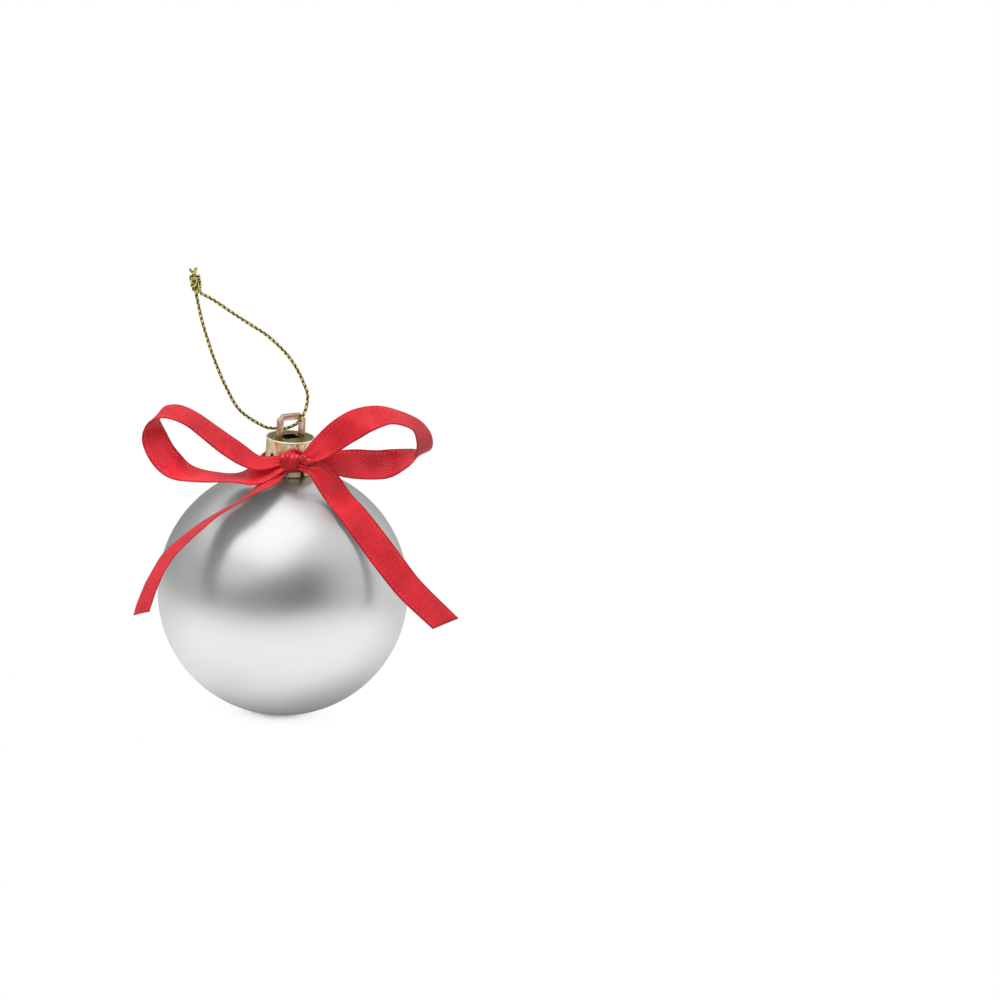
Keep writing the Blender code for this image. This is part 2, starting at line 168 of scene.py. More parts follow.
# How clear the stitches are on the knot, its fold and the band, where they also stand in for painted
# highlights along their tops.
GATHERED_STITCH_HIGHLIGHT = 0.85
STITCH_ROW = 0.5
STITCH_COLOUR = (0.85, 0.22, 0.22)
FACE_LIGHT = (0.72, 0.011, 0.022)
FACE_DARK = (0.34, 0.002, 0.008)
BACK_LIGHT = (1.0, 0.030, 0.050)
BACK_DARK = (0.42, 0.003, 0.010)
FACE_WEAVE = (0.7, 0.35)
BACK_WEAVE = (0.35, 0.65)
SEWN_WEAVE = (0.6, 0.3)
SATIN_ROUGHNESS = 0.42
SATIN_GLOSS_TINT = (1.0, 0.7, 0.74, 1.0)
SATIN_SHEEN = 0.02
SATIN_SHEEN_ROUGHNESS = 0.2
SATIN_SHEEN_TINT = (1.0, 0.6, 0.6, 1.0)
MIRRORED_GREY = (0.62, 0.62, 0.62)
LOOP_UNDERSIDE = 38.0
TAIL_UNDERSIDE = 2.0
KNOT_UNDERSIDE = -50.0
RIPPLE_MIDDLE = 0.4
RIPPLES = ((11.0 * MM, 0.03 * MM, 0.4), (6.3 * MM, 0.02 * MM, 1.9))
KNOT_STEPS = 56
KNOT_SECTIONS = 52
KNOT_PLEAT = 1.15 * MM
KNOT_PLEAT_DEPTH = 0.1 * MM
KNOT_PLEAT_SWAY = 0.3 * MM
KNOT_LUMP = 0.2 * MM
KNOT_SQUARENESS = 0.85
KNOT_END_FLATNESS = 3.2
KNOT_END_ROUND = 0.4
KNOT_RISE = Vector((0.0, 0.0, 0.2)) * MM
# The knot's stitch row lies on its upper front, where it also stands in for painted highlights.
KNOT_HIGHLIGHT_STITCH_ANGLE = math.radians(128.0)
STITCH_PLACE = 2.7 * MM
FOLD_PLACE = Vector((3.85, -0.9, 1.0)) * MM
FOLD_HALF = Vector((1.9, 1.0, 1.1)) * MM
FOLD_LEAN = math.radians(18.0)
BAND_STEPS = 160
BAND_SIDES = 28
BAND_FOLDS = 7
BAND_FOLD = 0.12 * MM
BAND_MAP_WIDTH = 5.0 * MM
BAND_RISE = 4.0 * MM
BAND_RISE_ANGLE = math.radians(-80.0)
BAND_RISE_SPREAD = 0.6

# Cord
CORD_DIAMETER = 0.8 * MM
CORD_PLIES = 3
CORD_PITCH = 1.5 * MM
CORD_RING_SPACING = 0.11 * MM
PLY_SIDES = 8
PLY_SWELL = 1.12
CORD_KNOT_LEAN = math.radians(-12.0)
FIBRE_COUNT = 18
FIBRE_RADIUS = 0.06 * MM
FIBRE_LENGTH = 0.55 * MM
FIBRE_SPREAD = 0.6
FIBRE_TURN = 2.4
FIBRE_SIDES = 5
FIBRE_TAPER = 0.4
FRAY_INSET = 0.2 * MM
FRAY_RADIUS = 0.25 * MM
FOIL_WINDINGS = ((0.27, 0.20, 0.012), (1.0, 0.93, 0.36))
FOIL_PITCH = 0.8
FOIL_SLANT = 0.6
FOIL_ROUGHNESS = 0.14
FOIL_DEPTH = 0.04 * MM
YARN_FIBRES = ((0.03, 0.016, 0.003), (0.09, 0.055, 0.012))
YARN_PITCH = 0.2
YARN_SLANT = 1.5
YARN_ROUGHNESS = 0.5
YARN_GLOSS = 0.2
YARN_DEPTH = 0.03 * MM

# The cord's route in millimetres from the eye's middle: x along the eye's width, y to the back,
# z up. It comes down from the knot, passes behind the eye's left leg, goes through the eye and
# rises in front of its right leg, back to the knot.
CORD_ROUTE = (
    (-26.9, 0.45, 35.2),
    (-25.0, 0.6, 28.7),
    (-21.7, 0.8, 20.1),
    (-17.6, 1.1, 11.7),
    (-13.2, 1.35, 5.1),
    (-6.8, 1.45, 0.7),
    (-3.5, 1.4, -0.2),
    (-1.3, 0.95, -0.3),
    (0.0, 0.0, 0.35),
    (1.0, -1.0, 1.3),
    (2.1, -1.4, 2.9),
    (2.9, -1.5, 4.6),
    (3.3, -1.5, 7.6),
    (2.6, -1.4, 10.3),
    (-1.2, -1.2, 17.0),
    (-7.4, -1.0, 23.3),
    (-15.4, -0.8, 28.7),
    (-23.0, -0.6, 33.9),
    (-26.1, -0.5, 35.6),
)
CORD_KNOT_CENTRE = (-27.4, 0.0, 38.2)
CORD_KNOT_STRAND = (
    (0.1, 0.4, -2.3),
    (0.5, 0.7, -1.3),
    (1.0, 0.2, 0.6),
    (0.75, -0.55, 1.7),
    (-0.15, -0.85, 1.5),
    (-0.95, -0.3, 0.5),
    (-0.8, 0.5, -0.7),
    (0.0, 0.75, -1.3),
    (0.75, 0.1, -1.5),
    (0.4, -0.8, -1.1),
    (-0.3, -0.9, -0.2),
    (0.0, -0.4, 1.1),
    (0.2, 0.3, 2.2),
)
CORD_END_SHORT = ((-27.6, 0.55, 40.6), (-27.4, 0.65, 41.1), (-27.15, 0.75, 41.55))
CORD_END_LONG = ((-28.25, -0.5, 40.55), (-28.85, -0.6, 41.2), (-29.4, -0.7, 41.8))

# Bow loops, from inside the knot out and back: distance out from the knot's side, to the back and
# up in millimetres, the direction across the ribbon from its front edge to its back edge, and how
# much of the width is left where the knot gathers it.
LOOP_LEFT = (
    ((-1.7, 0.3, 0.2), (0.0, 0.8, 0.6), 0.4),
    ((0.0, 0.3, 0.1), (0.0, 0.8, 0.6), 0.45),
    ((5.1, 0.2, -0.4), (-1.5, 4.7, 1.9), 0.8),
    ((11.7, 0.9, 3.0), (-0.7, 6.0, 3.5), 1.0),
    ((21.5, 1.4, 9.5), (0.0, 6.4, 2.7), 1.0),
    ((27.0, 1.9, 10.6), (-0.6, 6.7, 1.2), 1.0),
    ((29.9, 2.3, 8.3), (-2.6, 6.2, 0.9), 1.0),
    ((29.5, 1.9, 3.5), (-4.0, 3.6, 3.8), 1.0),
    ((25.9, 0.9, -1.6), (-3.2, 4.0, 4.8), 1.0),
    ((20.2, 0.4, -4.3), (-1.4, 6.6, 1.7), 1.0),
    ((9.7, 0.4, -4.7), (0.6, 7.0, 0.2), 1.0),
    ((4.1, -0.1, -3.0), (-1.0, 2.8, 3.4), 0.85),
    ((0.0, 0.0, -1.2), (0.0, 0.6, 0.9), 0.55),
    ((-1.7, 0.2, -0.6), (0.0, 0.8, 0.6), 0.4),
)
LOOP_RIGHT = (
    ((-1.7, -0.2, 0.6), (-0.2, 0.5, 0.8), 0.35),
    ((0.0, -0.2, 1.0), (-0.2, 0.5, 0.8), 0.4),
    ((3.9, -0.6, 4.1), (-4.0, 3.1, 3.5), 0.85),
    ((9.4, -0.6, 8.9), (-3.5, 1.7, 6.1), 1.0),
    ((14.8, -0.1, 11.9), (-1.2, 4.9, 4.8), 1.0),
    ((20.4, 0.4, 12.8), (0.5, 6.7, 1.9), 1.0),
    ((25.9, 0.9, 11.0), (2.5, 6.6, -0.3), 1.0),
    ((28.3, 0.9, 7.6), (3.5, 5.9, -1.3), 1.0),
    ((28.3, 1.4, 3.8), (3.4, 6.2, -0.5), 1.0),
    ((24.9, 2.2, 2.0), (0.5, 6.4, 2.8), 1.0),
    ((18.7, 2.9, -0.1), (2.0, 2.4, 6.6), 1.0),
    ((11.2, 2.4, -0.2), (1.0, 3.1, 6.2), 1.0),
    ((4.7, 1.6, 0.0), (0.0, 3.0, 4.0), 0.7),
    ((0.0, 0.9, -0.6), (0.0, 0.5, 0.8), 0.4),
    ((-1.7, 0.6, -0.6), (0.0, 0.5, 0.8), 0.35),
)

# Bow tails. Each starts inside the knot, given from the middle of the knot's underside in
# millimetres, and then runs down over the ball: angle from the ball's axis, angle round it from
# +X, lift of the ribbon's lower edge over the ball in millimetres, and the ribbon's lean off the
# ball in degrees. The cut is how much further one edge runs than the other at the cut end.
TAIL_RIGHT_START = (
    ((1.6, -0.6, 2.4), (0.6, 0.5, 1.6), 0.3),
    ((4.0, -1.2, 2.1), (1.4, 0.5, 1.8), 0.4),
    ((7.0, -1.6, 1.3), (3.4, 1.6, 2.7), 0.75),
)
TAIL_RIGHT = (
    (31.5, -42.4, 0.7, 14.0),
    (42.2, -42.2, 0.5, 23.0),
    (55.2, -39.4, 0.6, 32.0),
    (67.8, -36.8, 2.5, 33.0),
    (78.4, -34.2, 6.2, 27.0),
    (89.2, -30.8, 14.4, 21.0),
)
TAIL_RIGHT_CUT = 2.5 * MM
TAIL_LEFT_START = (
    ((-0.8, 0.2, 1.6), (0.0, -1.0, 0.0), 0.4),
    ((-1.6, 0.2, 0.0), (0.0, -1.0, 0.0), 0.4),
    ((-4.6, -2.4, -1.7), (0.6, -5.8, -0.3), 0.8),
)
TAIL_LEFT = (
    (36.0, -121.5, 0.8, 42.0),
    (48.0, -131.8, 2.0, 38.0),
    (60.0, -135.8, 5.1, 31.0),
    (69.5, -137.8, 8.3, 25.0),
    (78.0, -137.4, 11.2, 20.0),
    (85.0, -136.6, 13.7, 17.0),
    (88.0, -136.3, 14.7, 16.0),
)
TAIL_LEFT_CUT = -1.4 * MM
CUT_REACH = 5.0 * MM

# Stage. The studio's wall is a ring of grey card round the object, seen in reflections only. It is no
# lamp: it glows with its own brightness, which paints the reflections in the ball and the ribbon. Its
# rows are the angle round the object from the camera's side, where the card fades into the floor and
# into the sky there, as angles over level in degrees, and how bright it is.
FLOOR_SIZE = 12.0
FLOOR_GAP = 0.02 * MM
FLOOR_COLOUR = (0.36, 0.36, 0.36, 1.0)
FLOOR_GLOW = 0.76
FLOOR_SEEN = 0.9
CONTACT_REACH = 0.06
CONTACT_FOCUS = 22.0
CONTACT_SAMPLES = 16
# Painted shade on the floor where gloss shows it: darker near the contact, in a patch just right of it,
# towards the back, and further away, most of all on the left.
CONTACT_IN_GLOSS = 0.38
SHADE_MIDDLE = (12.0 * MM, -2.0 * MM, 0.0)
SHADE_REACH = 32.0 * MM
SHADE_LEVEL = 0.5
SHADE_FRONT = -30.0 * MM
SHADE_BACK = 60.0 * MM
SHADE_BACK_LEVEL = 0.45
FADE_START = 30.0 * MM
FADE_END = 240.0 * MM
FADE_NEAR = 0.92
FADE_SIDE = 90.0 * MM
FADE_RIGHT = 0.6
WALL_DISTANCE = 0.2
WALL_STEPS = 120
WALL_ROWS = 28
WALL_EDGE = 8.0
STUDIO_WALL = (
    (-180, -12, 42, 0.30),
    (-150, -12, 38, 0.32),
    (-130, -12, 30, 0.40),
    (-100, -12, 26, 0.50),
    (-80, -9, 21, 0.48),
    (-60, -7, 14, 0.45),
    (-40, -6, 14, 0.36),
    (-20, -6, 22, 0.25),
    (0, -5, 31, 0.20),
    (15, -2.5, 36, 0.15),
    (30, -1, 37, 0.20),
    (45, -1, 36, 0.45),
    (60, -2, 35, 0.62),
    (80, -5, 34, 0.68),
    (100, -8, 33, 0.80),
    (125, -12, 33, 0.80),
    (150, -12, 38, 0.48),
    (180, -12, 42, 0.30),
)
WORLD_STRENGTH = 0.8
SOFTBOX_SIZE = 1.2
SOFTBOX_PLACE = Vector((-0.22, -0.31, 0.97))
SOFTBOX_POWER = 2.6
KEY_SIZE = 0.5
KEY_PLACE = Vector((-0.45, -0.35, 1.0))
KEY_POWER = 9.0


def smooth_through(points, at):
    """A value on the smooth curve through points, at a place counted in points."""
    span = min(int(at), len(points) - 2)
    share = at - span
    before = points[span - 1] if span else points[0] * 2 - points[1]
    start = points[span]
    end = points[span + 1]
    after = points[span + 2] if span + 2 < len(points) else end * 2 - start
    slope_in = (end - before) / 2
    slope_out = (after - start) / 2
    bend = 3 * (end - start) - 2 * slope_in - slope_out
    turn = 2 * (start - end) + slope_in + slope_out
    return start + share * (slope_in + share * (bend + share * turn))


def sampled(points, count):
    """Values spread evenly in the count along the smooth curve."""
    last = len(points) - 1
    return [smooth_through(points, last * i / (count - 1)) for i in range(count)]


def arc(centre, radius, start, end, points):
    """Points on an arc in a profile, with angles in degrees from the first axis."""
    angles = [math.radians(start + (end - start) * i / (points - 1)) for i in range(points)]
    return [(centre[0] + radius * math.cos(a), centre[1] + radius * math.sin(a)) for a in angles]


def lengths_along(points):
    """How far along its run each point lies."""
    run = [0.0]
    for before, after in zip(points, points[1:]):
        run.append(run[-1] + (after - before).length)
    return run


def directions_along(points):
    """The run's direction at each point."""
    last = len(points) - 1
    return [(points[min(i + 1, last)] - points[max(i - 1, 0)]).normalized() for i in range(last + 1)]


# Node helpers

def feed(tree, node, inputs):
    """Sets a node's inputs; each is a value or the socket that feeds it."""
    for name, value in inputs.items():
        if isinstance(value, bpy.types.NodeSocket):
            tree.links.new(value, node.inputs[name])
        else:
            node.inputs[name].default_value = value


def add_node(tree, kind, inputs=None, **settings):
    node = tree.nodes.new(kind)
    for name, value in settings.items():
        setattr(node, name, value)
    feed(tree, node, inputs or {})
    return node


def maths(tree, operation, first, second=0.0):
    return add_node(tree, "ShaderNodeMath", {0: first, 1: second}, operation=operation).outputs[0]


def product(tree, first, *others):
    for value in others:
        first = maths(tree, "MULTIPLY", first, value)
    return first


def total(tree, first, *others):
    for value in others:
        first = maths(tree, "ADD", first, value)
    return first


def vector_maths(tree, operation, first, second=(0.0, 0.0, 0.0)):
    """The vector and the number that an operation on vectors gives."""
    inputs = {0: first, 1: second}
    vector, number = add_node(tree, "ShaderNodeVectorMath", inputs, operation=operation).outputs
    return vector, number


def ranged(tree, value, low, high, to_low=0.0, to_high=1.0):
    """A value carried from one range to another with soft ends."""
    inputs = {"Value": value, "From Min": low, "From Max": high, "To Min": to_low, "To Max": to_high}
    return add_node(tree, "ShaderNodeMapRange", inputs, interpolation_type="SMOOTHSTEP").outputs[0]


def colour_mix(tree, share, first, second):
    """One colour that goes over into another; each is three numbers or a socket."""
    inputs = {0: share}
    for place, colour in ((6, first), (7, second)):
        inputs[place] = colour if isinstance(colour, bpy.types.NodeSocket) else (*colour, 1.0)
    return add_node(tree, "ShaderNodeMix", inputs, data_type="RGBA").outputs[2]


def wave(tree, value, pitch):
    """A sine wave of a given pitch along a value."""
    return maths(tree, "SINE", product(tree, value, FULL_TURN / pitch))


def noise(tree, place, scale, detail=2.0):
    inputs = {"Vector": place, "Scale": scale, "Detail": detail}
    return add_node(tree, "ShaderNodeTexNoise", inputs).outputs[0]


def bump(tree, height, strength, distance):
    inputs = {"Height": height, "Strength": strength, "Distance": distance}
    return add_node(tree, "ShaderNodeBump", inputs).outputs[0]


def principled(name, colour, roughness, metallic=0.0):
    """A new material with its node tree and Principled shader."""
    material = bpy.data.materials.new(name)
    material.use_nodes = True
    material.diffuse_color = (*colour, 1.0)
    tree = material.node_tree
    shader = tree.nodes["Principled BSDF"]
    feed(tree, shader, {"Base Color": (*colour, 1.0), "Roughness": roughness, "Metallic": metallic})
    return material, tree, shader


def bare_material(name):
    """A new material with an empty node tree."""
    material = bpy.data.materials.new(name)
    material.use_nodes = True
    material.node_tree.nodes.clear()
    return material, material.node_tree


def object_place(tree):
    return add_node(tree, "ShaderNodeTexCoord").outputs["Object"]


# Materials

def satin_silver():
    """Silver lacquer with a satin face: a fine grain and a little unevenness in its gloss."""
    material, tree, shader = principled("satin_silver", SILVER, sum(SILVER_ROUGHNESS) / 2, 1.0)
    place = object_place(tree)
    broad = noise(tree, place, SILVER_UNEVEN_SCALE)
    grain = noise(tree, place, SILVER_GRAIN_SCALE, 1.0)
    roughness = ranged(tree, broad, 0.3, 0.7, *SILVER_ROUGHNESS)
    feed(tree, shader, {"Roughness": roughness, "Normal": bump(tree, grain, 0.12, SILVER_GRAIN_DEPTH)})
    return material


def champagne_gold():
    """Gold plating on a moulded cap, with the mould's waves. Its colour holds painted light: a painted
    highlight round the rim, a painted dark reflection that makes the plate olive, painted shade inside
    the cap, and a painted rosy reflection of the ribbon on the eye. Heights are over the plate. Towards
    the finger tips it is less metallic, which makes them look lighter.
    """
    material, tree, shader = principled("champagne_gold", GOLD_WAVES[1], sum(GOLD_ROUGHNESS) / 2, 0.8)
    place = object_place(tree)
    from_plate, _ = vector_maths(tree, "SUBTRACT", place, BALL_CENTRE + Vector((0, 0, CAP_TOP)))
    height = add_node(tree, "ShaderNodeSeparateXYZ", {0: from_plate}).outputs[2]
    _, radius = vector_maths(tree, "LENGTH", vector_maths(tree, "MULTIPLY", from_plate, (1, 1, 0))[0])
    waves = noise(tree, place, GOLD_WAVE_SCALE)
    wavy = ranged(tree, waves, 0.35, 0.65)
    on_plate = ranged(tree, height, -3 * CAP_RECESS, -2 * CAP_RECESS)
    # Painted highlight on the rim, all round the cap.
    outer = colour_mix(tree, on_plate, colour_mix(tree, wavy, *GOLD_WAVES), GOLD_RIM_HIGHLIGHT)
    speckled = ranged(tree, noise(tree, place, GOLD_SPECK_SCALE), 0.35, 0.65)
    # Painted dark olive reflection on the plate, and painted shade inside the cap below it.
    inner = colour_mix(tree, on_plate, GOLD_HOLLOW_SHADE, colour_mix(tree, speckled, *GOLD_OLIVE_PLATE_REFLECTION))
    inside_rim = ranged(tree, radius, CAP_RIM - CAP_BEAD, CAP_RIM - 2 * CAP_BEAD)
    tint = colour_mix(tree, inside_rim, outer, inner)
    # Painted rosy reflection of the ribbon on the eye, above the plate.
    rosy = colour_mix(tree, wavy, *GOLD_EYE_REFLECTION)
    tint = colour_mix(tree, ranged(tree, height, 0.0, GOLD_EYE_REFLECTION_HEIGHT), tint, rosy)
    feed(tree, shader, {
        "Base Color": tint,
        "Metallic": ranged(tree, height, *GOLD_METALLIC_HEIGHTS, *GOLD_METALLIC),
        "Roughness": ranged(tree, noise(tree, place, GOLD_GLOSS_SCALE), 0.3, 0.7, *GOLD_ROUGHNESS),
        "Normal": bump(tree, waves, 0.1, GOLD_WAVE_DEPTH),
    })
    return material


def weave_place(tree):
    """The weave's map in millimetres: the map itself, along the piece and across it."""
    weave_map = add_node(tree, "ShaderNodeUVMap", uv_map="weave").outputs[0]
    split = add_node(tree, "ShaderNodeSeparateXYZ", {0: weave_map})
    return weave_map, split.outputs[0], split.outputs[1]


def selvedge(tree, along, across, one_edge):
    """A row of stitches inside each edge of the ribbon or one, and the edges that turn down."""
    edge = maths(tree, "ABSOLUTE", across)
    sewn = across if one_edge else edge
    inner = ranged(tree, sewn, *STITCH_ROW_EDGES[:2])
    row = maths(tree, "SUBTRACT", inner, ranged(tree, sewn, *STITCH_ROW_EDGES[2:]))
    stitches = product(tree, row, ranged(tree, wave(tree, along, STITCH_PITCH), 0.2, 0.9))
    return stitches, ranged(tree, edge, *TURNED_EDGE)


def red_satin(name, light, dark, weave, stitch_share, neutral_from, one_edge=False):
    """Satin ribbon: slanted twill lines, a grid of floats and a stitched selvedge.

    The weave is how much the twill and the floats show. The photo's ball mirrors the ribbon in
    plain grey, so a ribbon that lies close to the ball is neutral where gloss shows it, from a
    distance along it in millimetres.
    """
    material, tree, shader = principled(name, light, SATIN_ROUGHNESS)
    weave_map, along, across = weave_place(tree)
    twill_share, float_share = weave
    drift = product(tree, noise(tree, weave_map, 0.25), 0.5)
    slanted = total(tree, product(tree, along, TWILL_SLANT), across, drift)
    patches = noise(tree, weave_map, 0.45, 3.0)
    patchy = ranged(tree, patches, 0.35, 0.65, 0.3 * twill_share, twill_share)
    twill = product(tree, wave(tree, slanted, TWILL_PITCH), patchy)
    floats = product(tree, wave(tree, along, FLOAT_PITCH), wave(tree, across, FLOAT_PITCH), float_share)
    specks = ranged(tree, noise(tree, weave_map, 1.8), 0.54, 0.7, -0.1, 0.6)
    cloudy = ranged(tree, noise(tree, weave_map, 0.2, 3.0), 0.3, 0.7, -0.3, 0.3)
    stitches, turned_edge = selvedge(tree, along, across, one_edge)
    height = total(tree, twill, floats, specks, stitches, cloudy, product(tree, turned_edge, -0.7))
    tint = colour_mix(tree, ranged(tree, height, -1.0, 1.0), dark, light)
    shown = ranged(tree, noise(tree, weave_map, 0.3), 0.4, 0.6, 0.5 * stitch_share, stitch_share)
    tint = colour_mix(tree, product(tree, stitches, shown), tint, STITCH_COLOUR)
    in_gloss = add_node(tree, "ShaderNodeLightPath").outputs["Is Glossy Ray"]
    neutral = product(tree, in_gloss, maths(tree, "GREATER_THAN", along, neutral_from))
    feed(tree, shader, {
        "Base Color": colour_mix(tree, neutral, tint, MIRRORED_GREY),
        "Normal": bump(tree, height, 0.4, WEAVE_DEPTH),
        "Specular Tint": SATIN_GLOSS_TINT,
        "Sheen Weight": SATIN_SHEEN,
        "Sheen Roughness": SATIN_SHEEN_ROUGHNESS,
        "Sheen Tint": SATIN_SHEEN_TINT,
    })
    return material


def wound(material, tree, shader, slant, pitch, shown, tints, strength, depth):
    """Gives a ply's material slanted windings in two tints."""
    _, along, around = weave_place(tree)
    windings = wave(tree, total(tree, along, product(tree, around, slant)), pitch)
    tint = colour_mix(tree, ranged(tree, windings, *shown), *tints)
    feed(tree, shader, {"Base Color": tint, "Normal": bump(tree, windings, strength, depth)})
    return material


def gold_foil():
    """Metal foil wound round the cord's yarn, with narrow windings."""
    parts = principled("gold_foil", FOIL_WINDINGS[1], FOIL_ROUGHNESS, 1.0)
    return wound(*parts, FOIL_SLANT, FOIL_PITCH, (-0.6, 0.5), FOIL_WINDINGS, 0.5, FOIL_DEPTH)


def dark_yarn():
    """Dark brown yarn twisted in with the foil."""
    parts = principled("dark_yarn", YARN_FIBRES[1], YARN_ROUGHNESS)
    feed(*parts[1:], {"Specular IOR Level": YARN_GLOSS})
    return wound(*parts, YARN_SLANT, YARN_PITCH, (-1.0, 1.0), YARN_FIBRES, 0.4, YARN_DEPTH)


# Mesh helpers

def loft(shape, rings, along, across, closed_ring=False, closed_run=False, material=0):
    """Faces between rings of points; along and across map them in millimetres."""
    layer = shape.loops.layers.uv.get("weave") or shape.loops.layers.uv.new("weave")
    corners = [[shape.verts.new(place) for place in ring] for ring in rings]
    runs = len(rings) if closed_run else len(rings) - 1
    steps = len(rings[0]) if closed_ring else len(rings[0]) - 1
    for i in range(runs):
        for j in range(steps):
            near = corners[i]
            far = corners[(i + 1) % len(rings)]
            next_j = (j + 1) % len(near)
            face = shape.faces.new((near[j], far[j], far[next_j], near[next_j]))
            face.smooth = True
            face.material_index = material
            mapped = ((i, j), (i + 1, j), (i + 1, j + 1), (i, j + 1))
            for loop, (run, step) in zip(face.loops, mapped):
                loop[layer].uv = (along[run] / MM, across[step] / MM)
    return corners


def close_ends(shape, corners, material=0):
    """Flat ends on a loft of closed rings."""
    for ring in (corners[0], corners[-1][::-1]):
        shape.faces.new(ring).material_index = material


def plain_mesh(name, shape):
    mesh = bpy.data.meshes.new(name)
    shape.to_mesh(mesh)
    shape.free()
    return mesh


def mesh_of(name, shape):
    """A mesh with its faces turned outwards and its sharp edges marked."""
    bmesh.ops.recalc_face_normals(shape, faces=shape.faces)
    mesh = plain_mesh(name, shape)
    mesh.set_sharp_from_angle(angle=SHARP_ANGLE)
    return mesh


def evaluated_mesh(item):
    """An object's mesh with its modifiers, or its curve's fill and thickness."""
    bpy.context.view_layer.update()
    depsgraph = bpy.context.evaluated_depsgraph_get()
    return bpy.data.meshes.new_from_object(item.evaluated_get(depsgraph))


def in_scene(name, data):
    """A new object in the scene."""
    item = bpy.data.objects.new(name, data)
    bpy.context.scene.collection.objects.link(item)
    return item


def add_piece(name, mesh, materials, body, slot, replaced):
    """A piece of the object that rides on a body and stands for a node of the frame."""
    piece = in_scene(name, mesh)
    for material in materials:
        mesh.materials.append(material)
    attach(piece, body)
    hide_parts(replaced)
    return piece


def add_solid(name, shape, *placing):
    """A closed piece, placed as add_piece says."""
    return add_piece(name, mesh_of(name, shape), *placing)


def spun(profile, steps):
    """A turned shape about the ball's axis, from a profile of (radius, height over its centre)."""
    shape = bmesh.new()
    places = [BALL_CENTRE + Vector((radius, 0, height)) for radius, height in profile]
    corners = [shape.verts.new(place) for place in places]
    edges = [shape.edges.new(pair) for pair in zip(corners, corners[1:])]
    bmesh.ops.spin(
        shape,
        geom=corners + edges,
        cent=BALL_CENTRE,
        axis=(0, 0, 1),
        angle=FULL_TURN,
        steps=steps,
        use_merge=True,
    )
    bmesh.ops.remove_doubles(shape, verts=shape.verts, dist=MERGE_DISTANCE)
    for face in shape.faces:
        face.smooth = True
    return shape


# Ball and cap

def make_ball(material):
    """The hollow ball with its open neck, which the cap hides."""
    inner = BALL_RADIUS - BALL_WALL
    bore = NECK_RADIUS - NECK_WALL
    neck_top = CAP_TOP - CAP_PLATE - NECK_GAP
    inner_start = math.degrees(math.acos(bore / inner))
    outer_start = math.degrees(math.acos((NECK_RADIUS + NECK_FILLET) / BALL_RADIUS))
    shoulder = math.sqrt(BALL_RADIUS**2 - (NECK_RADIUS + NECK_FILLET) ** 2)
    profile = [(0.0, -inner)]
    profile += arc((0, 0), inner, -90, inner_start, BALL_ARC_POINTS // 2)[1:]
    lip_middle = (NECK_RADIUS - NECK_WALL / 2, neck_top - NECK_WALL / 2)
    profile += [(bore, lip_middle[1])]
    profile += arc(lip_middle, NECK_WALL / 2, 180, 0, 7)[1:]
    profile += [(NECK_RADIUS, shoulder + NECK_FILLET)]
    profile += arc((0, 0), BALL_RADIUS, outer_start, -90, BALL_ARC_POINTS)[:-1]
    profile += [(0.0, -BALL_RADIUS)]
    add_solid("ball", spun(profile, BALL_STEPS), [material], "ball", "satin_silver", "glass_ball")


def outlined(name, outline_list, thickness, edge_round=0.0):
    """A flat shape of outlines with holes, extruded to both sides of its plane, as a mesh."""
    curve = bpy.data.curves.new(name, "CURVE")
    curve.dimensions = "2D"
    curve.fill_mode = "BOTH"
    curve.extrude = thickness / 2 - edge_round
    curve.bevel_depth = edge_round
    curve.bevel_resolution = 3
    curve.offset = -edge_round
    for outline in outline_list:
        spline = curve.splines.new("POLY")
        spline.points.add(len(outline) - 1)
        spline.use_cyclic_u = True
        for point, (across, up) in zip(spline.points, outline):
            point.co = (across, up, 0, 1)
    holder = in_scene(name, curve)
    solid = evaluated_mesh(holder)
    bpy.data.objects.remove(holder, do_unlink=True)
    bpy.data.curves.remove(curve)
    shape = bmesh.new()
    shape.from_mesh(solid)
    bpy.data.meshes.remove(solid)
    bmesh.ops.remove_doubles(shape, verts=shape.verts, dist=MERGE_DISTANCE / 2)
    return mesh_of(name, shape)


def eye_mesh():
    half = EYE_WIDTH / 2
    inner = half - EYE_BAR
    crown = half - EYE_CHAMFER
    shoulder = EYE_HEIGHT - EYE_CHAMFER
    outer = [(-half, -EYE_ROOT), (half, -EYE_ROOT), (half, shoulder)]
    outer += [(crown, EYE_HEIGHT), (-crown, EYE_HEIGHT), (-half, shoulder)]
    top = EYE_HEIGHT - EYE_BAR
    foot = -CAP_RECESS
    hole = [(-inner, foot), (inner, foot), (inner, top), (-inner, top)]
    return outlined("eye", (outer, hole), EYE_THICKNESS, EYE_ROUND)


def slot_outline():
    """One gap between fingers: round at its top, flared at its mouth."""
    half = FINGER_SLOT_WIDTH / 2
    top = FINGER_SLOT_HEIGHT - half
    outline = arc((0, top), half, 0, 180, 9)
    outline += arc((-half - FINGER_CORNER, FINGER_CORNER), FINGER_CORNER, 0, -90, 6)
    outline += [(-half - FINGER_CORNER, -2 * CAP_LIP), (half + FINGER_CORNER, -2 * CAP_LIP)]
    outline += arc((half + FINGER_CORNER, FINGER_CORNER), FINGER_CORNER, -90, -180, 6)
    return outline


def cut_and_join(piece, cuts):
    """Cuts other meshes out of a piece's mesh or joins them to it: (mesh, place, operation)."""
    tools = []
    for mesh, place, operation in cuts:
        tool = in_scene(mesh.name, mesh)
        tool.matrix_world = place
        modifier = piece.modifiers.new(tool.name, "BOOLEAN")
        modifier.object = tool
        modifier.operation = operation
        tools.append(tool)
    done = evaluated_mesh(piece)
    piece.modifiers.clear()
    piece.data = done
    for tool in tools:
        bpy.data.objects.remove(tool, do_unlink=True)


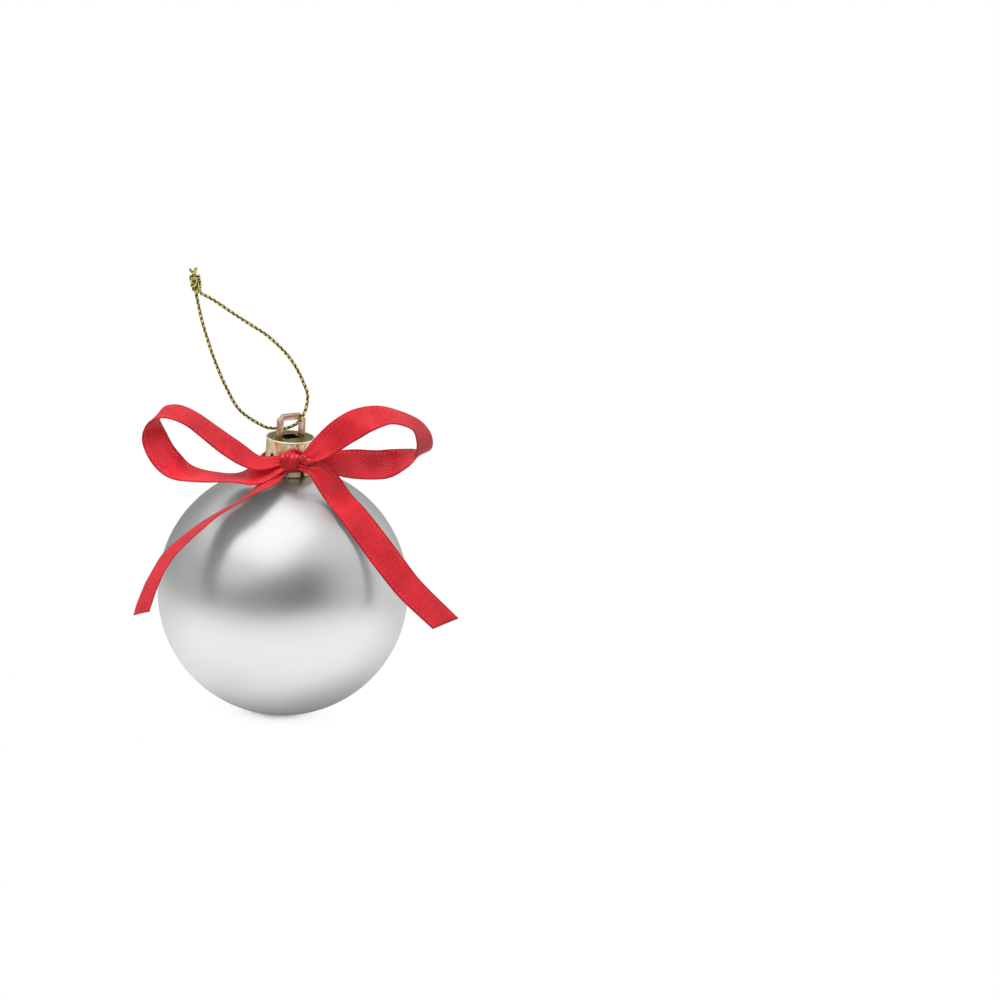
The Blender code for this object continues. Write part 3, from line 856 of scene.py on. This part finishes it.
def cap_profile():
    """The cap's wall: flat plate, thin rim, flared skirt with a rounded lip, and its inside."""
    rim_middle = (CAP_RIM - CAP_BEAD, CAP_TOP - CAP_BEAD)
    lip_middle = (CAP_OUTER - CAP_LIP, CAP_BOTTOM - CAP_LIP_DROP + CAP_LIP)
    profile = [(0.0, CAP_TOP - CAP_RECESS), (CAP_RIM - 2.2 * CAP_BEAD, CAP_TOP - CAP_RECESS)]
    profile += arc(rim_middle, CAP_BEAD, 140, -80, 14)
    profile += [(CAP_WAIST, CAP_TOP - 2.1 * CAP_BEAD), (CAP_SKIRT, CAP_BOTTOM + 5 * CAP_LIP)]
    profile += arc(lip_middle, CAP_LIP, 20, -90, 6)
    ceiling = CAP_TOP - CAP_PLATE
    return profile + [(CAP_INNER, CAP_BOTTOM), (CAP_INNER, ceiling), (0.0, ceiling)]


def make_cap(material):
    """The cap: a turned wall, slit into fingers, with the eye on its plate and the mould's slot."""
    upright = Matrix.Rotation(math.radians(90), 4, "X")
    mouth = Matrix.Translation((0, -CAP_OUTER, CAP_BOTTOM - CAP_LIP_DROP))
    slot = outlined("finger_slot", (slot_outline(),), 2 * (CAP_OUTER - CAP_INNER) + 2 * CAP_LIP)
    cuts = []
    for i in range(FINGER_COUNT):
        azimuth = FINGER_SLOT_AZIMUTH + FULL_TURN * i / FINGER_COUNT
        place = Matrix.Translation(BALL_CENTRE) @ Matrix.Rotation(azimuth, 4, "Z") @ mouth
        cuts.append((slot, place @ upright, "DIFFERENCE"))
    yaw = Matrix.Translation(BALL_CENTRE + Vector((0, 0, CAP_TOP))) @ EYE_TURN.to_4x4()
    cuts.append((eye_mesh(), yaw @ upright, "UNION"))
    reach = EYE_WIDTH / 2 - EYE_BAR - EYE_SLOT_INSET
    back = EYE_SLOT_SETBACK + EYE_SLOT_DEPTH / 2
    front = EYE_SLOT_SETBACK - EYE_SLOT_DEPTH / 2
    corners = [(-reach, front), (reach, front), (reach, back), (-reach, back)]
    cuts.append((outlined("eye_slot", (corners,), 4 * CAP_PLATE), yaw, "DIFFERENCE"))
    wall = spun(cap_profile(), CAP_STEPS)
    cap = add_solid("plated_cap", wall, [material], "cap", "champagne_gold", "cap")
    cut_and_join(cap, cuts)
    cap.data.set_sharp_from_angle(angle=CAP_SHARP_ANGLE)


# Bow

def ripple(along, side):
    """How far the ribbon's ripples lift it, most at its edges."""
    lift = 0.0
    for length, depth, phase in RIPPLES:
        lift += depth * math.sin(FULL_TURN * along / length + phase + side)
    return lift * (RIPPLE_MIDDLE + (1 - RIPPLE_MIDDLE) * abs(side))


def make_ribbon(name, stations, outward, cut, face, back, replaced):
    """A length of ribbon through stations of (middle, direction across, share of the width).

    Where the knot gathers it, it lies in pleats. Its last row is cut on the slant. Outward is 1 or
    -1, for the side that its face is on.
    """
    count = (len(stations) - 1) * RIBBON_SAMPLES + 1
    run = sampled([middle for middle, _, _ in stations], count)
    directions = sampled([across.normalized() for _, across, _ in stations], count)
    shares = sampled([share for _, _, share in stations], count)
    along = lengths_along(run)
    rings = []
    for i, tangent in enumerate(directions_along(run)):
        across = (directions[i] - directions[i].dot(tangent) * tangent).normalized()
        outside = outward * across.cross(tangent)
        pleat = PLEAT_DEPTH * max(0.0, 1 - shares[i])
        ring = []
        for j in range(RIBBON_ACROSS):
            side = 2 * j / (RIBBON_ACROSS - 1) - 1
            lift = pleat * math.cos(PLEAT_WAVES * math.pi * side) - CROWN * side * side
            lift += ripple(along[i], side)
            slant = side * cut / 2 * max(0.0, 1 - (along[-1] - along[i]) / CUT_REACH)
            reach = side * RIBBON_WIDTH / 2 * shares[i]
            ring.append(run[i] + across * reach + outside * lift + tangent * slant)
        rings.append(ring)
    width_map = [RIBBON_WIDTH * (j / (RIBBON_ACROSS - 1) - 0.5) for j in range(RIBBON_ACROSS)]
    shape = bmesh.new()
    loft(shape, rings, along, width_map)
    shape.normal_update()
    if outward < 0:
        bmesh.ops.reverse_faces(shape, faces=shape.faces)
    ribbon = add_piece(name, plain_mesh(name, shape), [back, face], "bow", "red_satin", replaced)
    thick = ribbon.modifiers.new("thickness", "SOLIDIFY")
    thick.thickness = RIBBON_THICKNESS
    thick.offset = 0
    thick.material_offset = 1


def loop_stations(rows, side):
    """A bow loop's stations; side is -1 for the left and 1 for the right."""
    stations = []
    for (out, back, up), across, share in rows:
        reach = KNOT_HALF.x + FIT_GAP + CAD_RIBBON_THICKNESS / 2 + out * MM
        middle = KNOT_CENTRE + Vector((side * reach, back * MM, up * MM))
        stations.append((middle, Vector((side * across[0], across[1], across[2])), share))
    return stations


def ball_direction(polar, azimuth):
    polar = math.radians(polar)
    azimuth = math.radians(azimuth)
    flat = math.sin(polar)
    return Vector((flat * math.cos(azimuth), flat * math.sin(azimuth), math.cos(polar)))


def tail_stations(begin, rows):
    """A bow tail's stations: those at the knot, then those over the ball."""
    under = KNOT_CENTRE - Vector((0, 0, KNOT_HALF.z + FIT_GAP + CAD_RIBBON_THICKNESS / 2))
    stations = []
    for place, across, share in begin:
        stations.append((under + Vector(place) * MM, Vector(across), share))
    for i, (polar, azimuth, lift, lean) in enumerate(rows):
        outward = ball_direction(polar, azimuth)
        before = ball_direction(*rows[max(i - 1, 0)][:2])
        after = ball_direction(*rows[min(i + 1, len(rows) - 1)][:2])
        level = outward.cross(after - before).normalized()
        lean = math.radians(lean)
        across = math.cos(lean) * level + math.sin(lean) * outward
        rise = RIBBON_WIDTH / 2 * abs(math.sin(lean)) + CAD_RIBBON_THICKNESS / 2 + lift * MM
        stations.append((BALL_CENTRE + outward * (BALL_RADIUS + rise), across, 1.0))
    return stations


def squared(share):
    """A cosine or sine, fuller at the corners than a circle's."""
    return math.copysign(abs(share) ** KNOT_SQUARENESS, share)


def add_pillow(shape, centre, half, lean):
    """A lump of gathered ribbon with ridges across it and a row of stitches along it. The row lies
    along the lump's upper front, where its pale stitches also stand in for painted highlights on the
    ridges.
    """
    turn = Matrix.Rotation(lean, 3, "Y")
    places = [-math.cos(math.pi * (i + 0.35) / (KNOT_SECTIONS - 0.3)) for i in range(KNOT_SECTIONS)]
    rings = []
    for place in places:
        size = (1 - abs(place) ** KNOT_END_FLATNESS) ** KNOT_END_ROUND
        ring = []
        for j in range(KNOT_STEPS):
            angle = FULL_TURN * j / KNOT_STEPS
            pleats = (place * half.x + KNOT_PLEAT_SWAY * math.sin(angle + 0.5)) / KNOT_PLEAT
            ridge = KNOT_PLEAT_DEPTH * math.cos(FULL_TURN * pleats)
            lump = KNOT_LUMP * math.sin(2 * angle + 4 * place)
            depth = squared(math.cos(angle)) * size * (half.y + ridge + lump)
            height = squared(math.sin(angle)) * size * (half.z + ridge + lump)
            ring.append(centre + turn @ Vector((place * half.x, depth, height)))
        rings.append(ring)
    along = [place * half.x for place in places]
    girth = 0.6 * math.pi * (half.y + half.z)
    first = STITCH_PLACE - girth * KNOT_HIGHLIGHT_STITCH_ANGLE / FULL_TURN
    around = [first + girth * j / KNOT_STEPS for j in range(KNOT_STEPS + 1)]
    close_ends(shape, loft(shape, rings, along, around, closed_ring=True))


def make_bow_knot(material):
    """The knot: a turn of ribbon over the front, drawn into ridges, with a fold beside it."""
    shape = bmesh.new()
    add_pillow(shape, KNOT_CENTRE + KNOT_RISE, KNOT_HALF + KNOT_RISE, 0.0)
    add_pillow(shape, KNOT_CENTRE + FOLD_PLACE, FOLD_HALF, FOLD_LEAN)
    add_solid("knot_of_bow", shape, [material], "bow", "red_satin", "bow_knot")


def make_band(material):
    """The ribbon behind the knot, gathered into a narrow band of folds round the cap."""
    outer = (band_high.x - band_low.x) / 2
    middle_height = (band_low.z + band_high.z) / 2
    half_height = (band_high.z - band_low.z) / 2
    half_depth = (outer - CAP_OUTER - FIT_GAP) / 2
    middle = outer - half_depth
    rings = []
    for i in range(BAND_STEPS):
        angle = FULL_TURN * i / BAND_STEPS
        away = math.sin((angle - BAND_RISE_ANGLE) / 2)
        rise = BAND_RISE * math.exp(-((2 * away / BAND_RISE_SPREAD) ** 2))
        ring = []
        for j in range(BAND_SIDES):
            turn = FULL_TURN * j / BAND_SIDES
            out, up = math.cos(turn), math.sin(turn)
            fold = BAND_FOLD * math.sin(BAND_FOLDS * turn + 1.3 * math.sin(2 * angle)) * max(0.0, out)
            radius = middle + half_depth * out * 0.9 + fold
            height = half_height * up * (0.92 + 0.06 * math.sin(3 * angle + 1.0))
            height += rise * max(0.0, up) + middle_height - BALL_CENTRE.z
            place = Vector((radius * math.cos(angle), radius * math.sin(angle), height))
            ring.append(BALL_CENTRE + place)
        rings.append(ring)
    shape = bmesh.new()
    along = [FULL_TURN * middle * i / BAND_STEPS for i in range(BAND_STEPS + 1)]
    # The stitch row lies along the band's top, where it also stands in for painted highlights.
    across = [BAND_MAP_WIDTH * (j / BAND_SIDES - 0.25) + STITCH_PLACE for j in range(BAND_SIDES + 1)]
    loft(shape, rings, along, across, closed_ring=True, closed_run=True)
    add_solid("band_of_bow", shape, [material], "bow", "red_satin", "ribbon_band")


def make_bow(left_sides, right_sides, tail_sides, gathered):
    """The bow. Each pair of materials is a ribbon's face and back; knot and band are gathered."""
    make_ribbon("loop_left", loop_stations(LOOP_LEFT, -1), 1, 0, *left_sides, "bow_loop_left")
    make_ribbon("loop_right", loop_stations(LOOP_RIGHT, 1), -1, 0, *right_sides, "bow_loop_right")
    left = tail_stations(TAIL_LEFT_START, TAIL_LEFT)
    right = tail_stations(TAIL_RIGHT_START, TAIL_RIGHT)
    make_ribbon("tail_left", left, -1, TAIL_LEFT_CUT, *tail_sides, "bow_tail_left")
    make_ribbon("tail_right", right, -1, TAIL_RIGHT_CUT, *tail_sides, "bow_tail_right")
    make_bow_knot(gathered)
    make_band(gathered)


# Cord

def from_eye(point):
    """The place of a point given in millimetres from the eye's middle."""
    return EYE_PIVOT + EYE_TURN @ (Vector(point) * MM)


def evenly(points, spacing):
    """Points about evenly spaced along the smooth curve through a few."""
    fine = sampled(points, 40 * len(points))
    run = lengths_along(fine)
    count = max(3, round(run[-1] / spacing) + 1)
    spread = []
    at = 0
    for i in range(count):
        target = run[-1] * i / (count - 1)
        while at < len(fine) - 2 and run[at + 1] < target:
            at += 1
        share = (target - run[at]) / max(run[at + 1] - run[at], 1e-12)
        spread.append(fine[at].lerp(fine[at + 1], share))
    return spread


def carried_sides(points):
    """Two directions square to the run at each point, carried along it without twist."""
    tangents = directions_along(points)
    side = tangents[0].orthogonal().normalized()
    sides = []
    for tangent in tangents:
        side = (side - side.dot(tangent) * tangent).normalized()
        sides.append((side, tangent.cross(side)))
    return sides


def add_tube(shape, points, radius, sides, material, taper=0.0):
    """A closed tube along points, narrowed towards its end by the share taper."""
    rings = []
    for i, (place, (side, up)) in enumerate(zip(points, carried_sides(points))):
        size = radius * (1 - taper * i / (len(points) - 1))
        angles = [FULL_TURN * j / sides for j in range(sides)]
        rings.append([place + size * (math.cos(a) * side + math.sin(a) * up) for a in angles])
    around = [FULL_TURN * radius * j / sides for j in range(sides + 1)]
    corners = loft(shape, rings, lengths_along(points), around, closed_ring=True, material=material)
    close_ends(shape, corners, material)


def add_rope(shape, route, dark_plies=1):
    """A cord of twisted plies along a route; its last plies are the dark ones."""
    points = evenly(route, CORD_RING_SPACING)
    run = lengths_along(points)
    sides = carried_sides(points)
    ply_radius = CORD_DIAMETER / (2 + 2 / math.sin(math.pi / CORD_PLIES)) * PLY_SWELL
    orbit = CORD_DIAMETER / 2 - ply_radius
    for ply in range(CORD_PLIES):
        line = []
        for place, length, (side, up) in zip(points, run, sides):
            angle = FULL_TURN * (length / CORD_PITCH + ply / CORD_PLIES)
            line.append(place + orbit * (math.cos(angle) * side + math.sin(angle) * up))
        add_tube(shape, line, ply_radius, PLY_SIDES, 1 if ply >= CORD_PLIES - dark_plies else 0)
    return points


def add_fray(shape, tip, direction):
    """Loose fibres at a cut end, spread round its direction."""
    side = direction.orthogonal().normalized()
    up = direction.cross(side)
    for i in range(FIBRE_COUNT):
        angle = FIBRE_TURN * i
        share = math.sqrt((i + 0.5) / FIBRE_COUNT)
        lean = FIBRE_SPREAD * share
        out = math.cos(angle) * side + math.sin(angle) * up
        start = tip - FRAY_INSET * direction + FRAY_RADIUS * share * out
        length = FIBRE_LENGTH * (0.6 + 0.4 * math.cos(1.7 * i) ** 2)
        bent = start + length * 0.55 * (direction + 0.5 * lean * out)
        end = start + length * (direction + lean * out).normalized()
        add_tube(shape, sampled([start, bent, end], 6), FIBRE_RADIUS, FIBRE_SIDES, 0, FIBRE_TAPER)


def make_cord(materials):
    """The cord's loop, its knot and its two frayed ends, of foil and yarn."""
    route = [from_eye(point) for point in CORD_ROUTE]
    shape = bmesh.new()
    path = add_rope(shape, route)
    cord = add_solid("twisted_cord", shape, materials, "cord", "gold_cord", "hang_cord")

    shape = bmesh.new()
    centre = Vector(CORD_KNOT_CENTRE)
    lean = Matrix.Rotation(CORD_KNOT_LEAN, 3, "Y")
    for begin, end in ((CORD_ROUTE[0], CORD_END_SHORT[0]), (CORD_ROUTE[-1], CORD_END_LONG[0])):
        middle = Vector(begin).lerp(Vector(end), 0.5)
        add_rope(shape, [from_eye(begin), from_eye(middle), from_eye(end)])
    for half_turn in (0.0, math.pi):
        turn = lean @ Matrix.Rotation(half_turn, 3, "Z")
        add_rope(shape, [from_eye(centre + turn @ Vector(point)) for point in CORD_KNOT_STRAND])
    knot = add_solid("knot_of_cord", shape, materials, "cord", "gold_cord", "cord_knot")

    for name, points in (("cord_end_short", CORD_END_SHORT), ("cord_end_long", CORD_END_LONG)):
        shape = bmesh.new()
        line = [from_eye(point) for point in points]
        add_rope(shape, line, 0)
        add_fray(shape, line[-1], (line[-1] - line[-2]).normalized())
        piece = name.replace("cord_end", "frayed_end")
        add_solid(piece, shape, materials, "cord", "gold_cord", name)


# Stage, light and camera

def make_floor():
    """A pale floor that keeps the contact shadow and shows in reflections.

    The camera sees the white world through it, shaded by the contact, so that a ball that is pulled
    down past the floor still shows whole. In gloss it has painted shade: darker at the contact, in a
    patch just right of the contact, towards the back, and further away, most of all on the left.
    """
    shape = bmesh.new()
    bmesh.ops.create_grid(shape, x_segments=1, y_segments=1, size=FLOOR_SIZE / 2)
    floor = in_scene("floor", plain_mesh("floor", shape))
    floor.location = (BALL_CENTRE.x, BALL_CENTRE.y, ball_low.z - FLOOR_GAP)
    material, tree = bare_material("floor")
    ray = add_node(tree, "ShaderNodeLightPath").outputs
    reach = {"Distance": CONTACT_REACH}
    occlusion = add_node(tree, "ShaderNodeAmbientOcclusion", reach, samples=CONTACT_SAMPLES)
    open_share = occlusion.outputs["AO"]
    contact = maths(tree, "POWER", maths(tree, "SUBTRACT", 1.0, open_share), CONTACT_FOCUS)
    lit = maths(tree, "SUBTRACT", 1.0, contact)
    place = object_place(tree)
    to_right, to_back, _ = add_node(tree, "ShaderNodeSeparateXYZ", {0: place}).outputs
    _, aside = vector_maths(tree, "DISTANCE", place, SHADE_MIDDLE)
    _, away = vector_maths(tree, "LENGTH", place)
    fade = ranged(tree, to_right, -FADE_SIDE, FADE_SIDE, FADE_NEAR, FADE_NEAR - FADE_RIGHT)
    fade = product(tree, ranged(tree, away, FADE_START, FADE_END), fade)
    # Painted shade in the glow that gloss shows: at the contact, in a patch beside it, towards the back
    # and further away.
    strength = product(
        tree,
        maths(tree, "MAXIMUM", ray["Is Glossy Ray"], ray["Is Transmission Ray"]),
        maths(tree, "POWER", open_share, CONTACT_IN_GLOSS),
        maths(tree, "SUBTRACT", FADE_NEAR, fade),
        ranged(tree, aside, 0.0, SHADE_REACH, SHADE_LEVEL, 1.0),
        ranged(tree, to_back, SHADE_FRONT, SHADE_BACK, 1.0, SHADE_BACK_LEVEL),
        FLOOR_GLOW,
    )
    glow = add_node(tree, "ShaderNodeEmission", {"Strength": strength}).outputs[0]
    diffuse = add_node(tree, "ShaderNodeBsdfDiffuse", {"Color": FLOOR_COLOUR}).outputs[0]
    both = add_node(tree, "ShaderNodeAddShader", {0: diffuse, 1: glow}).outputs[0]
    clear = add_node(tree, "ShaderNodeBsdfTransparent", {"Color": lit}).outputs[0]
    sides = {0: ray["Is Camera Ray"], 1: both, 2: clear}
    shown = add_node(tree, "ShaderNodeMixShader", sides).outputs[0]
    add_node(tree, "ShaderNodeOutputMaterial", {"Surface": shown})
    floor.data.materials.append(material)


def soft_step(share):
    share = min(1.0, max(0.0, share))
    return share * share * (3 - 2 * share)


def wall_at(azimuth):
    """Where the card starts and ends in height and how bright it is, at an angle round it."""
    span = next(i for i in range(1, len(STUDIO_WALL)) if azimuth <= STUDIO_WALL[i][0])
    before = STUDIO_WALL[span - 1]
    after = STUDIO_WALL[span]
    share = soft_step((azimuth - before[0]) / (after[0] - before[0]))
    return [start + (end - start) * share for start, end in zip(before[1:], after[1:])]


def make_wall():
    """The card round the object, which glows and paints the reflections: it fades into the floor below
    and into the sky above.
    """
    foot = math.degrees(math.atan2(-BALL_RADIUS, WALL_DISTANCE))
    rings = []
    brightness = []
    for i in range(WALL_STEPS + 1):
        azimuth = -180.0 + 360.0 * i / WALL_STEPS
        bottom, top, level = wall_at(azimuth)
        turn = math.radians(azimuth)
        foot_place = BALL_CENTRE + WALL_DISTANCE * Vector((math.sin(turn), -math.cos(turn), 0))
        ring = []
        for j in range(WALL_ROWS + 1):
            tilt = foot + (top + WALL_EDGE - foot) * j / WALL_ROWS
            height = WALL_DISTANCE * math.tan(math.radians(tilt))
            ring.append(foot_place + Vector((0, 0, height)))
            sky_share = soft_step((tilt - top + WALL_EDGE) / (2 * WALL_EDGE))
            floor_share = 1 - soft_step((tilt - bottom + WALL_EDGE / 2) / WALL_EDGE)
            card = level + (FLOOR_SEEN - level) * floor_share
            brightness.append(card + (WORLD_STRENGTH - card) * sky_share)
        rings.append(ring)
    shape = bmesh.new()
    loft(shape, rings, [0.0] * (WALL_STEPS + 1), [0.0] * (WALL_ROWS + 1))
    mesh = plain_mesh("studio_wall", shape)
    mesh.attributes.new("brightness", "FLOAT", "POINT").data.foreach_set("value", brightness)
    wall = in_scene("studio_wall", mesh)
    wall.visible_camera = False
    wall.visible_diffuse = False
    wall.visible_shadow = False
    material, tree = bare_material("studio_wall")
    level = add_node(tree, "ShaderNodeAttribute", attribute_name="brightness").outputs["Fac"]
    glow = add_node(tree, "ShaderNodeEmission", {"Strength": level})
    add_node(tree, "ShaderNodeOutputMaterial", {"Surface": glow.outputs[0]})
    mesh.materials.append(material)


def make_world():
    """Even light from all round, which the camera sees as white."""
    world = bpy.data.worlds.new("studio")
    world.use_nodes = True
    tree = world.node_tree
    to_camera = add_node(tree, "ShaderNodeLightPath").outputs["Is Camera Ray"]
    strength = maths(tree, "MAXIMUM", to_camera, WORLD_STRENGTH)
    feed(tree, tree.nodes["Background"], {"Color": (1.0, 1.0, 1.0, 1.0), "Strength": strength})
    bpy.context.scene.world = world


def make_lamp(name, size, place, power, mirrored):
    """A square lamp that looks at the ball; mirrored says whether gloss shows it."""
    data = bpy.data.lights.new(name, "AREA")
    data.shape = "SQUARE"
    data.size = size
    data.energy = power
    lamp = in_scene(name, data)
    lamp.location = BALL_CENTRE + place
    lamp.rotation_euler = (-place).to_track_quat("-Z", "Y").to_euler()
    lamp.visible_camera = False
    lamp.visible_glossy = mirrored


def make_camera():
    """A long lens at the photo's angle, so that the ball's centre falls on its pixel."""
    right = Vector((1, 0, 0))
    up = Vector((0, math.sin(CAMERA_ELEVATION), math.cos(CAMERA_ELEVATION)))
    back = Vector((0, -math.cos(CAMERA_ELEVATION), math.sin(CAMERA_ELEVATION)))
    camera_right = right * math.cos(CAMERA_ROLL) + up * math.sin(CAMERA_ROLL)
    camera_up = up * math.cos(CAMERA_ROLL) - right * math.sin(CAMERA_ROLL)
    pixel = MM / PIXELS_PER_MM
    aside = (IMAGE_SIZE / 2 - BALL_PIXEL[0]) * pixel
    above = (BALL_PIXEL[1] - IMAGE_SIZE / 2) * pixel
    data = bpy.data.cameras.new("camera")
    data.sensor_width = SENSOR_WIDTH
    data.lens = SENSOR_WIDTH * CAMERA_DISTANCE / (IMAGE_SIZE * pixel)
    data.clip_end = 4 * FLOOR_SIZE
    camera = in_scene("camera", data)
    turn = Matrix((camera_right, camera_up, back)).transposed().to_4x4()
    aim = BALL_CENTRE + aside * camera_right + above * camera_up
    camera.matrix_world = Matrix.Translation(aim + back * CAMERA_DISTANCE) @ turn
    bpy.context.scene.camera = camera


def main():
    make_camera()
    make_cord([gold_foil(), dark_yarn()])
    make_ball(satin_silver())
    make_cap(champagne_gold())
    face = (FACE_LIGHT, FACE_DARK, FACE_WEAVE)
    back = (BACK_LIGHT, BACK_DARK, BACK_WEAVE)
    sewn = (BACK_LIGHT, BACK_DARK, SEWN_WEAVE, STITCH_ROW)
    loop_face = red_satin("red_satin", *face, STITCH_FAINT, LOOP_UNDERSIDE)
    loop_back = red_satin("red_satin_back", *back, STITCH_BACK, LOOP_UNDERSIDE)
    sewn_back = red_satin("red_satin_sewn", *sewn, LOOP_UNDERSIDE, one_edge=True)
    tail_face = red_satin("red_satin_tail", *face, STITCH_FAINT, TAIL_UNDERSIDE)
    tail_back = red_satin("red_satin_tail_back", *back, STITCH_FAINT, TAIL_UNDERSIDE)
    # The gathered pieces show their stitch rows clearly, partly as painted highlights.
    gathered = red_satin("red_satin_knot", *face, GATHERED_STITCH_HIGHLIGHT, KNOT_UNDERSIDE)
    make_bow((loop_face, loop_back), (loop_face, sewn_back), (tail_face, tail_back), gathered)
    make_floor()
    make_wall()
    make_world()
    make_lamp("softbox", SOFTBOX_SIZE, SOFTBOX_PLACE, SOFTBOX_POWER, True)
    make_lamp("key", KEY_SIZE, KEY_PLACE, KEY_POWER, False)
    bpy.context.scene.view_settings.view_transform = "Standard"


main()
